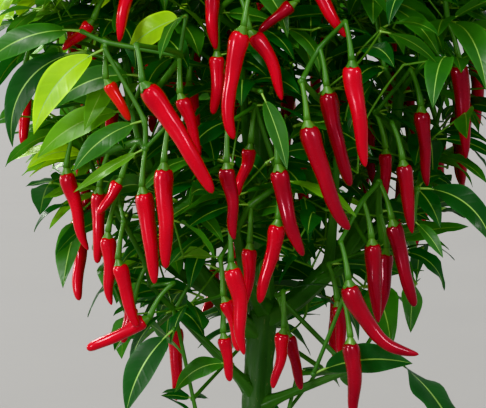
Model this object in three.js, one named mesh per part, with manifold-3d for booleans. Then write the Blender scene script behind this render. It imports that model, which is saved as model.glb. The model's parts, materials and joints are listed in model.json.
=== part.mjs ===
// A chilli pepper plant in full fruit, rooted in the ground. One green stem stands on a flared foot and forks
// low down. Boughs leave it outwards and turn up, and each carries a mass of forking twigs, drooping leaves and
// hanging red fruit. Millimetres, +Z up, origin at the middle of the stem's foot. It is looked at from -Y.

import * as THREE from "three";
import { mergeVertices } from "three/addons/utils/BufferGeometryUtils.js";
import Module from "manifold-3d";

const wasm = await Module();
wasm.setup();

// Driving sizes, in millimetres and degrees
const SEED = 7;
const JOINT_GAP = 0.3; // between two solids that meet
const CLEAR = 1.2; // between one mass and another mass or a limb

// The crown's outline: its radius at its widest height, and how far it reaches above and below that height.
// It is round above, and below it draws in towards the stem, the more slowly the smaller the taper is.
const CROWN = { radius: 180, widest: 345, rise: 160, drop: 262, taper: 0.55 };
// Nodes stand between these shares of the crown's radius, so that the leaves reach its outline.
const NODE_SHELL = { inner: 0.28, outer: 0.78, belowTop: 22 };
const NODE_SPACING = 37.5;
const NODE_TRIES = 1500;

const STEM = {
  tip: [6, 3, 192], bend: [-3, 0, 100],
  footRadius: 15.5, radius: 10.2, tipRadius: 8.6, flare: 17,
};
const LIMB_SIDES = 8;
const LIMB_STEPS = 5;
const BOUGH_SHARE = 0.6; // of the way to the mass's heart, where the mass's own stem goes on
const BOUGH_TAPER = 0.35;
const MASS_STEM = { sides: 6, steps: 4, taper: 0.45, past: 1.6 };

// A twig widens from a point sunk behind its parent's line to its collar, and ends a little past its node.
const TWIG = { fine: 1.2, growth: 0.32, collar: 3.2, past: 1, sunk: 0.9, sides: 3 };
// How a new node picks its twig: its room, the weight of the way back to the root, and how many it tries.
const JOIN = { room: 2.2, routeWeight: 0.35, tries: 10, merge: 9 };
const SLIVER = 0.06; // what is thinner than this is smoothed away after fusing
const SHORT_EDGE = 0.03; // and edges shorter than this are closed

const PEDICEL = { length: 24, root: 0.85, out: 0.28, share: 0.5 };
const CALYX_RADIUS = 3.1;
const FRUIT = { plump: 3.3, plumpPerLength: 0.052, sides: 5, steps: 20 };
// The fruit's radius at shares of its length, as shares of its full radius.
const FRUIT_ROWS = [[0.09, 1], [0.6, 0.85]];
const FRUIT_DRAW = { share: 0.5, topLimit: 415, length: [34, 60], lean: [0, 14], curl: [-14, 24] };

const LEAF = { thickness: 0.9, steps: 20 };
// The leaf is a blade with six corners: its base, its tip, and two pairs at these shares of its length.
const LEAF_CORNERS = [{ share: 0.34, wide: 1 }, { share: 0.7, wide: 0.66 }];
const LEAF_DRAW = {
  perNode: 2, length: [48, 76], width: [0.36, 0.46],
  rise: [-10, 35], droop: [25, 85], swing: [-75, 75], roll: [-40, 40],
};

const PART_TRIES = 8; // goes at finding a free place for a leaf or a fruit
const BEAD_SPACING = 4;
const OWN_ROOM = 13; // round its node, a leaf or a fruit may touch its own mass
const OWN_CLOSENESS = 0.6; // and elsewhere it may come this close, as a share of the beads' radii

// Places below are read in the front view, at the stem's own distance: across, height, and then the depth.
// What hangs nearer to the eye keeps to the same line of sight, so it stands closer in than it looks.
const EYE = new THREE.Vector3(-7, -1096, 352);

// A mass grows round its heart, on a bough that leaves its parent at a share of the parent's length.
// Each fruit: across, height and depth of its shoulder, length, lean to the right, and curl along its length.
// Each leaf: across, height and depth of its node, heading in plan, length, width, rise, droop and roll.
const MASSES = [
  {
    name: "top", heart: [2, 8, 428],
    from: "stem", at: 1, radius: 6, spread: 0.35, lift: 0.5,
    fruits: [],
    leaves: [],
  },
  {
    name: "upper_right", heart: [88, -15, 378],
    from: "stem", at: 0.95, radius: 6.6, spread: 1.12, lift: 0.28,
    fruits: [],
    leaves: [[118, 368, -60, 350, 84, 30, 5, 115, -50], [80, 340, -70, 215, 46, 20, -35, 40, 30]],
  },
  {
    name: "upper_left", heart: [-80, -30, 368],
    from: "stem", at: 0.9, radius: 5.6, spread: 0.8, lift: 0.25,
    fruits: [
      [-74, 408, -90, 48, -10, 0], [-67, 329, -138, 68, 38, -12], [-45, 322, -104, 33, 18, 0],
      [-90, 331, -98, 24, 30, 0], [-101, 368, -72, 22, -45, 0],
    ],
    leaves: [
      [-106, 363, -85, 182, 66, 22, 8, 60, -40], [-42, 372, -95, 150, 44, 24, -10, 30, -60],
    ],
  },
  {
    name: "back", heart: [-8, 92, 262],
    from: "stem", at: 0.86, radius: 5, spread: 0.85, lift: 0.3,
    fruits: [],
    leaves: [],
  },
  {
    name: "upper_front", heart: [-8, -72, 362],
    from: "bough_top", at: 0.3, radius: 4, spread: 0.85, lift: 0.35,
    fruits: [
      [-29, 402, -98, 46, 8, -4], [28, 402, -108, 46, 36, -5], [-8, 363, -126, 60, -24, 40],
      [-1, 361, -112, 40, 38, -28], [-23, 348, -96, 33, 2, -12], [23, 379, -104, 24, -55, 10],
    ],
    leaves: [[4, 326, -118, 315, 48, 15, -55, 20, 25]],
  },
  {
    name: "upper_back", heart: [-5, 78, 385],
    from: "bough_top", at: 0.42, radius: 3.8, spread: 0.8, lift: 0.3,
    fruits: [],
    leaves: [],
  },
  {
    name: "front", heart: [-12, -84, 268],
    from: "stem", at: 0.99, radius: 4.2, spread: 0.9, lift: 0.35,
    fruits: [
      [-3, 291, -98, 28, -14, 0], [-17, 279, -120, 40, 3, 6], [15, 278, -122, 50, 8, 16],
      [14, 244, -100, 46, -12, 0], [-3, 229, -90, 34, -4, 0], [-14, 217, -110, 50, 9, -2],
      [-18, 196, -96, 30, 20, -10],
    ],
    leaves: [],
  },
  {
    name: "mid_right", heart: [76, -42, 238],
    from: "bough_upper_right", at: 0.33, radius: 3.8, spread: 0.6, lift: 0.5,
    fruits: [
      [59, 206, -104, 60, 8, 74], [73, 232, -86, 46, 4, 2], [86, 244, -72, 50, 14, 2],
      [52, 193, -56, 32, 5, 0], [82, 226, -60, 40, -6, 0],
    ],
    leaves: [],
  },
  {
    name: "right", heart: [110, -8, 300],
    from: "bough_upper_right", at: 0.5, radius: 3.6, spread: 0.75, lift: 0.4,
    fruits: [
      [103, 314, -62, 44, 2, 6], [92, 281, -82, 40, 8, 0], [81, 288, -50, 26, 0, 0],
    ],
    leaves: [[101, 266, -62, 345, 60, 22, 5, 85, -55], [99, 246, -62, 320, 30, 11, -30, 30, 20]],
  },
  {
    name: "right_front", heart: [48, -78, 312],
    from: "bough_upper_right", at: 0.42, radius: 3.6, spread: 0.6, lift: 0.35,
    fruits: [
      [60, 342, -124, 56, 4, 8], [45, 326, -114, 54, 9, 10], [33, 305, -128, 62, 9, 26],
    ],
    leaves: [],
  },
  {
    name: "left", heart: [-100, -28, 288],
    from: "bough_upper_left", at: 0.4, radius: 3.6, spread: 0.75, lift: 0.35,
    fruits: [
      [-56, 279, -118, 56, 0, 2], [-69, 264, -110, 52, 10, -6], [-116, 276, -46, 48, 8, 14],
      [-96, 264, -62, 42, -2, 0], [-84, 270, -76, 22, -32, 0],
    ],
    leaves: [
      [-102, 350, -58, 172, 84, 24, 0, 105, -62], [-92, 352, -100, 200, 66, 24, -20, 60, -50],
      [-84, 342, -66, 212, 44, 18, -52, 15, -55], [-68, 335, -78, 183, 62, 20, 12, 66, -42],
      [-76, 314, -66, 184, 64, 22, 0, 55, -40], [-68, 308, -104, 200, 52, 18, -10, 50, -35],
      [-66, 290, -108, 190, 48, 9, -25, 12, -40],
    ],
  },
  {
    name: "back_left", heart: [-80, 62, 300],
    from: "bough_back", at: 0.4, radius: 3.6, spread: 0.7, lift: 0.3,
    fruits: [],
    leaves: [],
  },
  {
    name: "back_right", heart: [80, 62, 298],
    from: "bough_back", at: 0.5, radius: 3.6, spread: 0.7, lift: 0.35,
    fruits: [],
    leaves: [],
  },
  {
    name: "low_left", heart: [-62, -48, 212],
    from: "stem", at: 0.7, radius: 3.5, spread: 0.45, lift: 0.45,
    fruits: [
      [-91, 236, -72, 40, -4, 14], [-84, 219, -82, 38, 10, 12], [-68, 184, -76, 38, -60, -6],
      [-19, 173, -80, 26, 8, 0], [-76, 192, -58, 22, -15, 0],
    ],
    leaves: [
      [-50, 178, -82, 215, 58, 25, -30, 50, -30], [-14, 156, -60, 195, 42, 16, 15, 80, -50],
    ],
  },
  {
    name: "low_right", heart: [72, -46, 166],
    from: "stem", at: 0.66, radius: 3.5, spread: 0.5, lift: 0.55,
    fruits: [
      [60, 170, -98, 46, 2, 2], [18, 176, -54, 34, -10, 0], [21, 174, -34, 34, 14, 0],
    ],
    leaves: [[37, 150, -80, 350, 60, 25, 28, 42, -55], [86, 160, -50, 322, 68, 38, -22, 45, -25]],
  },
  {
    name: "low_back", heart: [4, 66, 178],
    from: "stem", at: 0.76, radius: 3.4, spread: 0.55, lift: 0.45,
    fruits: [],
    leaves: [],
  },
];

// Small helpers

const DEGREE = Math.PI / 180;
const UP = new THREE.Vector3(0, 0, 1);
const vec = (x, y, z) => new THREE.Vector3(x, y, z);
const mix = ([low, high], share) => low + (high - low) * share;

let randomState = SEED;
function random() {
  randomState = (Math.imul(randomState, 1664525) + 1013904223) >>> 0;
  return randomState / 4294967296;
}

function seen(across, height, depth) {
  return EYE.clone().lerp(vec(across, 0, height), (depth - EYE.y) / -EYE.y);
}

function crownRadius(height) {
  const above = (height - CROWN.widest) / CROWN.rise;
  const below = (CROWN.widest - height) / CROWN.drop;
  if (above > 0) return CROWN.radius * Math.sqrt(Math.max(0, 1 - above * above));
  return CROWN.radius * Math.max(0, 1 - below) ** CROWN.taper;
}

function inCrown(point) {
  return Math.hypot(point.x, point.y) < crownRadius(point.z);
}

function outwards(point) {
  return vec(point.x, point.y, 0).normalize();
}

// Solids: every limb, twig, leaf and fruit is a cylinder whose rows are moved along a line

// Each row has a place, a direction and a radius. The first row's corners are set from the given side.
function sweep(rows, sides, firstSide) {
  const geometry = new THREE.CylinderGeometry(1, 1, 1, sides, rows.length - 1);
  const place = geometry.getAttribute("position");
  const side = firstSide.clone();
  const frames = rows.map(({ at, along, radius }) => {
    side.addScaledVector(along, -side.dot(along)).normalize();
    return { at, radius, width: side.clone(), depth: vec().crossVectors(side, along) };
  });
  const local = vec();
  for (let i = 0; i < place.count; i++) {
    local.fromBufferAttribute(place, i);
    const { at, radius, width, depth } = frames[Math.round((local.y + 0.5) * (rows.length - 1))];
    const moved = at.clone();
    moved.addScaledVector(width, local.x * radius);
    moved.addScaledVector(depth, local.z * radius);
    place.setXYZ(i, moved.x, moved.y, moved.z);
  }
  return solidOf(geometry);
}

// A blade: a ball of six corners and two poles, its corners moved to the outline and its poles to the middle.
function blade(line, across, width) {
  const geometry = new THREE.SphereGeometry(1, 6, 2);
  const place = geometry.getAttribute("position");
  const last = line.length - 1;
  for (let i = 0; i < place.count; i++) {
    const pole = Math.round(place.getY(i));
    const corner = ((Math.round(Math.atan2(place.getZ(i), place.getX(i)) / (60 * DEGREE)) % 6) + 6) % 6;
    const side = corner > 0 && corner < 3 ? -1 : 1;
    const fromTip = Math.min(corner, 6 - corner);
    const { share, wide } = fromTip === 0 ? { share: 1, wide: 0 } : fromTip === 3 ? { share: 0, wide: 0 }
      : LEAF_CORNERS[2 - fromTip];
    const at = line[Math.round((pole ? 0.5 : share) * last)];
    const moved = at.place.clone();
    if (pole) moved.addScaledVector(at.normal, pole * LEAF.thickness);
    else moved.addScaledVector(across, side * wide * width / 2);
    place.setXYZ(i, moved.x, moved.y, moved.z);
  }
  return solidOf(geometry);
}

function solidOf(geometry) {
  geometry.deleteAttribute("normal");
  geometry.deleteAttribute("uv");
  const merged = mergeVertices(geometry, 1e-4);
  const corners = merged.index.array;
  const kept = [];
  for (let i = 0; i < corners.length; i += 3) {
    const [a, b, c] = [corners[i], corners[i + 1], corners[i + 2]];
    if (a !== b && b !== c && c !== a) kept.push(a, b, c);
  }
  const vertProperties = new Float32Array(merged.getAttribute("position").array);
  return new wasm.Manifold(new wasm.Mesh({ numProp: 3, vertProperties, triVerts: new Uint32Array(kept) }));
}

// The one body that stays after fusing: loose scraps and sealed hollows are left out.
function largest(solid) {
  return solid.decompose().reduce((best, body) => (body.volume() > best.volume() ? body : best));
}

// A solid's corners and faces, with the ends of every edge that is too short drawn together.
function facesOf(solid) {
  const { numProp, vertProperties, triVerts, numVert } = solid.getMesh();
  const points = Array.from({ length: numVert }, (_, i) => vec().fromArray(vertProperties, i * numProp));
  const count = triVerts.length / 3;
  let faces = Array.from({ length: count }, (_, i) => [...triVerts.subarray(3 * i, 3 * i + 3)]);
  const edgesOf = ([a, b, c]) => [[a, b], [b, c], [c, a]];
  const isShort = ([a, b]) => points[a].distanceTo(points[b]) < SHORT_EDGE;
  for (;;) {
    const edge = faces.flatMap(edgesOf).find((ends) => isShort(ends) && canClose(faces, ...ends));
    if (!edge) return { points, faces };
    faces = faces.map((face) => face.map((corner) => (corner === edge[1] ? edge[0] : corner)))
      .filter(([a, b, c]) => a !== b && b !== c && c !== a);
  }
}

// An edge may be closed where its ends share only the two corners that lie across from it.
function canClose(faces, a, b) {
  const around = (corner) => new Set(faces.filter((face) => face.includes(corner)).flat());
  const near = around(a);
  const shared = [...around(b)].filter((corner) => near.has(corner) && corner !== a && corner !== b);
  return shared.length === 2;
}

function meshOf(name, solid, material) {
  const { points, faces } = facesOf(solid);
  const places = faces.flatMap((face) => face.flatMap((corner) => points[corner].toArray()));
  const loose = new THREE.BufferGeometry();
  loose.setAttribute("position", new THREE.BufferAttribute(new Float32Array(places), 3));
  const mesh = new THREE.Mesh(mergeVertices(loose, 1e-4), material);
  mesh.geometry.computeVertexNormals();
  mesh.name = name;
  return mesh;
}

// A direction that is well away from the line's own, to set a round section's corners by.
function anySide(direction) {
  return Math.abs(direction.z) > 0.8 ? vec(1, 0, 0) : UP;
}

// What stands where: beads along every limb, twig, leaf and fruit, each with its owner

const taken = [];
const shown = []; // the beads of the fruit that the front view shows

function beadsAlong(rows) {
  const beads = [];
  for (let i = 1; i < rows.length; i++) {
    const [from, to] = [rows[i - 1], rows[i]];
    const count = Math.ceil(from.at.distanceTo(to.at) / BEAD_SPACING);
    for (let k = 0; k <= count; k++) {
      const share = k / count;
      beads.push({ at: from.at.clone().lerp(to.at, share), radius: mix([from.radius, to.radius], share) });
    }
  }
  return beads;
}

function isClear(beads, owner) {
  const others = taken.filter((other) => other.owner !== owner);
  return beads.every(({ at, radius }) =>
    others.every((other) => at.distanceTo(other.at) > radius + other.radius + CLEAR));
}

// Leaves and fruit also keep off their own mass, but for the twig that they stand on.
function isLoose(beads, owner, node) {
  return beads.every(({ at, radius }) => at.distanceTo(node) < OWN_ROOM || taken.every((other) =>
    other.owner !== owner || at.distanceTo(other.at) > OWN_CLOSENESS * (radius + other.radius)));
}

function take(beads, owner) {
  for (const bead of beads) taken.push({ ...bead, owner });
}

// True where a bead stands between the eye and a fruit that the front view shows.
function hidesFruit(beads) {
  return beads.some(({ at, radius }) => shown.some((fruit) => {
    const sight = fruit.at.clone().sub(EYE);
    const reach = at.clone().sub(EYE).dot(sight) / sight.lengthSq();
    return reach < 1 && EYE.clone().addScaledVector(sight, reach).distanceTo(at) < radius + fruit.radius;
  }));
}

// Limbs: the stem and the boughs

const limbs = new Map();

function limbRows(limb, grow) {
  const rows = [];
  for (let i = 0; i <= LIMB_STEPS; i++) {
    const share = i / LIMB_STEPS;
    const place = limb.curve.getPoint(share * limb.share);
    const along = limb.curve.getTangent(share * limb.share);
    rows.push({ at: place, along, radius: limb.radiusAt(share) + grow });
  }
  if (limb.levelFoot) rows[0].along = UP;
  rows[LIMB_STEPS].at.addScaledVector(rows[LIMB_STEPS].along, grow);
  return rows;
}

function addLimb(name, limb) {
  const rows = limbRows(limb, 0);
  const across = anySide(rows[0].along);
  let solid = sweep(rows, LIMB_SIDES, across);
  for (const other of limbs.values()) solid = solid.subtract(other.grown);
  const grown = sweep(limbRows(limb, JOINT_GAP), LIMB_SIDES, across);
  limbs.set(name, { ...limb, solid: largest(solid), grown });
  take(beadsAlong(rows), name);
}

function addStem() {
  const curve = new THREE.QuadraticBezierCurve3(vec(0, 0, 0), vec(...STEM.bend), vec(...STEM.tip));
  const height = STEM.tip[2];
  const flare = (share) => (STEM.footRadius - STEM.radius) * Math.exp((-share * height) / STEM.flare);
  const radiusAt = (share) => mix([STEM.radius, STEM.tipRadius], share) + flare(share);
  addLimb("stem", { curve, share: 1, radiusAt, levelFoot: true });
}

function addBough(mass) {
  const parent = limbs.get(mass.from);
  const start = parent.curve.getPoint(mass.at * parent.share);
  const heart = vec(...mass.heart);
  const bend = vec(
    mix([start.x, heart.x], mass.spread),
    mix([start.y, heart.y], mass.spread),
    mix([start.z, heart.z], mass.lift),
  );
  const curve = new THREE.QuadraticBezierCurve3(start, bend, heart);
  const radiusAt = (share) => mass.radius * (1 - BOUGH_TAPER * share);
  addLimb("bough_" + mass.name, { curve, share: BOUGH_SHARE, radiusAt });
}

// Masses: nodes joined by twigs, with leaves and fruit on them

// The mass's own stem goes on along the bough's line, from the joint gap to the heart and a little past it.
function startMass(mass) {
  const { curve, radiusAt } = limbs.get("bough_" + mass.name);
  mass.stem = [];
  for (let i = 0; i <= MASS_STEM.steps; i++) {
    const step = i / MASS_STEM.steps;
    const share = mix([BOUGH_SHARE, 1], step);
    const radius = radiusAt(1) * (1 - MASS_STEM.taper * step);
    mass.stem.push({ at: curve.getPoint(share), along: curve.getTangent(share), radius });
  }
  const [first, middle, last] = [mass.stem[0], mass.stem[MASS_STEM.steps / 2], mass.stem[MASS_STEM.steps]];
  const stemNode = (row, parent) =>
    ({ at: row.at.clone(), parent, route: row.at.distanceTo(first.at), load: 1, onStem: true });
  const lower = stemNode(middle, null);
  mass.nodes = [lower, stemNode(last, lower)];
  mass.parts = [];
  first.at.addScaledVector(first.along, JOINT_GAP);
  last.at.addScaledVector(last.along, MASS_STEM.past);
  take(beadsAlong(mass.stem), mass.name);
}

// A new node joins the nearest twig, counting a share of the way back to the mass's root.
function join(mass, point) {
  const ranked = mass.nodes
    .map((node) => ({ node, cost: node.at.distanceTo(point) + JOIN.routeWeight * node.route }))
    .sort((a, b) => a.cost - b.cost)
    .slice(0, JOIN.tries);
  for (const { node } of ranked) {
    const beads = beadsAlong([{ at: node.at, radius: JOIN.room }, { at: point, radius: JOIN.room }]);
    if (!isClear(beads, mass.name)) continue;
    const route = node.route + node.at.distanceTo(point);
    mass.nodes.push({ at: point, parent: node, route, load: 1, onStem: false });
    take(beads, mass.name);
    return true;
  }
  return false;
}

// Straight down, leaned by an angle in the upright plane of the given azimuth.
function hanging(lean, azimuth) {
  const flat = vec(Math.cos(azimuth * DEGREE), Math.sin(azimuth * DEGREE), 0);
  return flat.multiplyScalar(Math.sin(lean * DEGREE)).addScaledVector(UP, -Math.cos(lean * DEGREE));
}

// From a node to its fruit's shoulder: down, a little outwards, and leaned a share of the fruit's own lean.
function pedicelOf(lean, azimuth, point) {
  const direction = hanging(lean * PEDICEL.share, azimuth).addScaledVector(outwards(point), PEDICEL.out);
  return direction.multiplyScalar(PEDICEL.length);
}

function fruitPart(node, shoulder, { length, lean, curl, azimuth }) {
  const alongAt = (share) => hanging(lean + curl * share, azimuth);
  const line = [shoulder.clone()];
  for (let i = 0; i < FRUIT.steps; i++) {
    line.push(line[i].clone().addScaledVector(alongAt((i + 0.5) / FRUIT.steps), length / FRUIT.steps));
  }
  const radius = FRUIT.plump + FRUIT.plumpPerLength * length;
  const stalk = shoulder.clone().sub(node).normalize();
  const rows = [
    { at: node.clone().addScaledVector(stalk, -TWIG.sunk), along: stalk, radius: PEDICEL.root },
    { at: shoulder, along: alongAt(0), radius: CALYX_RADIUS },
  ];
  for (const [share, size] of FRUIT_ROWS) {
    rows.push({ at: line[Math.round(share * FRUIT.steps)], along: alongAt(share), radius: size * radius });
  }
  rows.push({ at: line[FRUIT.steps], along: alongAt(1), radius: 0 });
  const side = hanging(90, azimuth);
  return { node, beads: beadsAlong(rows), solid: () => sweep(rows, FRUIT.sides, side) };
}

// A leaf bends down along its length and is rolled about it.
function leafPart(node, { heading, length, width, rise, droop, roll }) {
  const flat = vec(Math.cos(heading * DEGREE), Math.sin(heading * DEGREE), 0);
  const alongAt = (share) => {
    const climb = (rise - droop * share) * DEGREE;
    return flat.clone().multiplyScalar(Math.cos(climb)).addScaledVector(UP, Math.sin(climb));
  };
  const across = vec().crossVectors(UP, flat).applyAxisAngle(alongAt(0.5), roll * DEGREE);
  const line = [];
  const place = node.clone().addScaledVector(alongAt(0), -TWIG.sunk);
  for (let i = 0; i <= LEAF.steps; i++) {
    const along = alongAt(i / LEAF.steps);
    line.push({ place: place.clone(), normal: vec().crossVectors(along, across).normalize() });
    place.addScaledVector(along, length / LEAF.steps);
  }
  return { node, beads: leafBeads(line, across, width), solid: () => blade(line, across, width) };
}

// Three beads side by side, from a little way out along the leaf to its tip.
function leafBeads(line, across, width) {
  const beads = [];
  for (let i = 4; i <= LEAF.steps; i += 2) {
    const half = width / 2 * outlineAt(i / LEAF.steps);
    for (const side of [-0.62, 0, 0.62]) {
      const at = line[i].place.clone().addScaledVector(across, side * half);
      beads.push({ at, radius: 0.42 * half + LEAF.thickness });
    }
  }
  return beads;
}

// The outline's half width at a share of the leaf's length, as a share of the greatest.
function outlineAt(share) {
  const [near, far] = LEAF_CORNERS;
  if (share < near.share) return share / near.share;
  if (share < far.share) return mix([near.wide, far.wide], (share - near.share) / (far.share - near.share));
  return far.wide * (1 - share) / (1 - far.share);
}

function addPart(mass, part) {
  mass.parts.push(part);
  take(part.beads, mass.name);
}

// The fruit and leaves that the front view shows are set one by one, and the twigs reach out to them.
function dressFront(mass) {
  const fruits = mass.fruits.map(([across, height, depth, length, lean, curl]) => {
    const shoulder = seen(across, height, depth);
    const node = shoulder.clone().sub(pedicelOf(lean, 0, shoulder));
    return { shoulder, node, shape: { length, lean, curl, azimuth: 0 } };
  });
  const leaves = mass.leaves.map(([across, height, depth, heading, length, width, rise, droop, roll]) =>
    ({ node: seen(across, height, depth), shape: { heading, length, width, rise, droop, roll } }));
  const root = mass.stem[0].at;
  const wanted = [...fruits, ...leaves].sort((a, b) => a.node.distanceTo(root) - b.node.distanceTo(root));
  for (const { node, shoulder, shape } of wanted) {
    const near = mass.nodes.find((other) => other.at.distanceTo(node) < JOIN.merge);
    const foot = near ? near.at : node;
    const part = shoulder ? fruitPart(foot, shoulder, shape) : leafPart(foot, shape);
    if (!isClear(part.beads, mass.name) || !isLoose(part.beads, mass.name, foot)) continue;
    if (!near && !join(mass, foot)) continue;
    addPart(mass, part);
    if (shoulder) shown.push(...part.beads);
  }
}

function heartNearest(point) {
  return MASSES.reduce((best, mass) =>
    (point.distanceTo(mass.centre) < point.distanceTo(best.centre) ? mass : best));
}

// A point between the shell's two sides, or none: the crown's thin ends get fewer.
function randomInCrown() {
  const height = mix([CROWN.widest - CROWN.drop, CROWN.widest + CROWN.rise - NODE_SHELL.belowTop], random());
  const azimuth = random() * 360 * DEGREE;
  const share = Math.sqrt(mix([NODE_SHELL.inner ** 2, NODE_SHELL.outer ** 2], random()));
  const radius = crownRadius(height);
  const kept = random() < (radius / CROWN.radius) ** 2;
  const away = radius * share;
  return kept ? vec(away * Math.cos(azimuth), away * Math.sin(azimuth), height) : null;
}

function randomLeaf(node) {
  const heading = Math.atan2(node.y, node.x) / DEGREE + mix(LEAF_DRAW.swing, random());
  const length = mix(LEAF_DRAW.length, random());
  const width = length * mix(LEAF_DRAW.width, random());
  const rise = mix(LEAF_DRAW.rise, random());
  const droop = mix(LEAF_DRAW.droop, random());
  const roll = mix(LEAF_DRAW.roll, random());
  return leafPart(node, { heading, length, width, rise, droop, roll });
}

function randomFruit(node) {
  const azimuth = random() * 360;
  const lean = mix(FRUIT_DRAW.lean, random());
  const length = mix(FRUIT_DRAW.length, random());
  const curl = mix(FRUIT_DRAW.curl, random());
  return fruitPart(node, node.clone().add(pedicelOf(lean, azimuth, node)), { length, lean, curl, azimuth });
}

function isFree(mass, part) {
  return part.beads.every(({ at }) => inCrown(at)) && isClear(part.beads, mass.name)
    && isLoose(part.beads, mass.name, part.node) && !hidesFruit(part.beads);
}

function tryPart(mass, node, draw) {
  for (let i = 0; i < PART_TRIES; i++) {
    const part = draw(node.at);
    if (isFree(mass, part)) {
      addPart(mass, part);
      return;
    }
  }
}

// The rest of the mass: nodes drawn at random in its share of the crown, the nearest joined first.
function spreadTwigs(mass, points) {
  const root = mass.stem[0].at;
  points.sort((a, b) => a.distanceTo(root) - b.distanceTo(root));
  for (const point of points) join(mass, point);
}

function hangFruit(mass) {
  for (const node of mass.nodes) {
    const bears = !node.onStem && node.at.z < FRUIT_DRAW.topLimit && random() < FRUIT_DRAW.share;
    if (bears) tryPart(mass, node, randomFruit);
  }
}

function putLeaves(mass) {
  for (const node of mass.nodes) {
    for (let i = 0; i < LEAF_DRAW.perNode; i++) tryPart(mass, node, randomLeaf);
  }
}

// A twig is as thick as what it carries.
function twigRadius(node) {
  return TWIG.fine * node.load ** TWIG.growth;
}

// The twigs of a mass as lines of nodes. Each line goes on through the child that carries the most.
function twigLines(mass) {
  for (const node of mass.nodes) for (let back = node.parent; back; back = back.parent) back.load += 1;
  const heirs = new Map();
  for (const node of mass.nodes) {
    const { parent } = node;
    if (parent && !parent.onStem && node.load > (heirs.get(parent)?.load ?? 0)) heirs.set(parent, node);
  }
  const firsts = mass.nodes.filter((node) => !node.onStem && heirs.get(node.parent) !== node);
  return firsts.map((first) => {
    const line = [first.parent];
    for (let node = first; node; node = heirs.get(node)) line.push(node);
    return line;
  });
}

// A twig widens out of a point inside its parent, and runs a little past its last node.
function twigSolid(line) {
  const rows = line.map((node, i) => {
    const [before, after] = [line[Math.max(i - 1, 0)], line[Math.min(i + 1, line.length - 1)]];
    const along = after.at.clone().sub(before.at).normalize();
    return { at: node.at.clone(), along, radius: twigRadius(node) };
  });
  const foot = line[0].at;
  const first = line[1].at.clone().sub(foot).normalize();
  const collar = foot.clone().addScaledVector(first, TWIG.collar);
  rows[0] = { at: foot.clone().addScaledVector(first, -TWIG.sunk), along: first, radius: 0 };
  rows.splice(1, 0, { at: collar, along: first, radius: rows[1].radius });
  rows.at(-1).at.addScaledVector(rows.at(-1).along, TWIG.past);
  return sweep(rows, TWIG.sides, anySide(first));
}

function massSolid(mass) {
  const pieces = [sweep(mass.stem, MASS_STEM.sides, anySide(mass.stem[0].along))];
  for (const line of twigLines(mass)) pieces.push(twigSolid(line));
  for (const part of mass.parts) pieces.push(part.solid());
  return largest(wasm.Manifold.union(pieces).asOriginal().simplify(SLIVER));
}

// The plant

function grow() {
  addStem();
  for (const mass of MASSES) {
    mass.centre = vec(...mass.heart);
    addBough(mass);
  }
  for (const mass of MASSES) startMass(mass);
  for (const mass of MASSES) dressFront(mass);
  const points = new Map(MASSES.map((mass) => [mass, []]));
  const all = MASSES.flatMap((mass) => mass.nodes.map((node) => node.at));
  for (let i = 0; i < NODE_TRIES; i++) {
    const point = randomInCrown();
    if (!point || all.some((other) => other.distanceTo(point) < NODE_SPACING)) continue;
    all.push(point);
    points.get(heartNearest(point)).push(point);
  }
  for (const mass of MASSES) spreadTwigs(mass, points.get(mass));
  for (const mass of MASSES) hangFruit(mass);
  for (const mass of MASSES) putLeaves(mass);
}

const stemMaterial = new THREE.MeshStandardMaterial({ color: 0x2f5a1e, roughness: 0.6 });
const boughMaterial = new THREE.MeshStandardMaterial({ color: 0x2c6420, roughness: 0.5 });
const foliageMaterial = new THREE.MeshStandardMaterial({ color: 0x2e7a1c, roughness: 0.42 });

grow();
const plant = new THREE.Group();
for (const [name, { solid }] of limbs) {
  plant.add(meshOf(name, solid, name === "stem" ? stemMaterial : boughMaterial));
}
for (const mass of MASSES) plant.add(meshOf("mass_" + mass.name, massSolid(mass), foliageMaterial));

export default plant;
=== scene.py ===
# A chilli pepper plant in full fruit, grown by the rule of its solids and carried on to finer twigs and
# leaves. The rule works in millimetres, +Z up, origin at the middle of the stem's foot. Its front faces -Y.

import json
import math

import bpy
import numpy as np
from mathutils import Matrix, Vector

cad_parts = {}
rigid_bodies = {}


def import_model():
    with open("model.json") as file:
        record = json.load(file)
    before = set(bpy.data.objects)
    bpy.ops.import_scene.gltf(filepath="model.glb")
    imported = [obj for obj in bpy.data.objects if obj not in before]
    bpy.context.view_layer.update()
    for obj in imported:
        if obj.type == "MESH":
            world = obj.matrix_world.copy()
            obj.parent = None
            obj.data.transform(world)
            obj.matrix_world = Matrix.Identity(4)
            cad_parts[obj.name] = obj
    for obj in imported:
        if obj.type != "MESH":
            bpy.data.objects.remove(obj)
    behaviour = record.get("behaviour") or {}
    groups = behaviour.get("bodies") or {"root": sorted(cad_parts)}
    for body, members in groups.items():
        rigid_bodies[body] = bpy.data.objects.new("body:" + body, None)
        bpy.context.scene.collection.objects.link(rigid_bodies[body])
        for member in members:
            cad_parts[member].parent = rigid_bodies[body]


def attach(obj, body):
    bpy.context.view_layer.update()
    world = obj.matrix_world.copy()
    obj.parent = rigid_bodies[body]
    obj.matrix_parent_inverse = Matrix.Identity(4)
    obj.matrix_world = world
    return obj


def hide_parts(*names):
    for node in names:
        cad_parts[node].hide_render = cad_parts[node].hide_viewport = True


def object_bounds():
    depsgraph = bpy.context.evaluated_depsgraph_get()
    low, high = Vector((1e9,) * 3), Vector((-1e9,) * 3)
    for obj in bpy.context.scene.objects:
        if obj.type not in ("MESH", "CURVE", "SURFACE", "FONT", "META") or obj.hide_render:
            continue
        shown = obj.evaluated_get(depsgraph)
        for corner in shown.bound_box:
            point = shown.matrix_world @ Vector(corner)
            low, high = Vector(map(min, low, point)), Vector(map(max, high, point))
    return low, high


MM = 0.001
PICTURE_WIDTH_MM = 301  # what the picture's width shows at the stem's distance
LOOK_AT = (-7, 0, 256.5)
EYE = np.array((-7.0, -1096.0, 352.0))

# The rule's sizes, in millimetres and degrees

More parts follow.
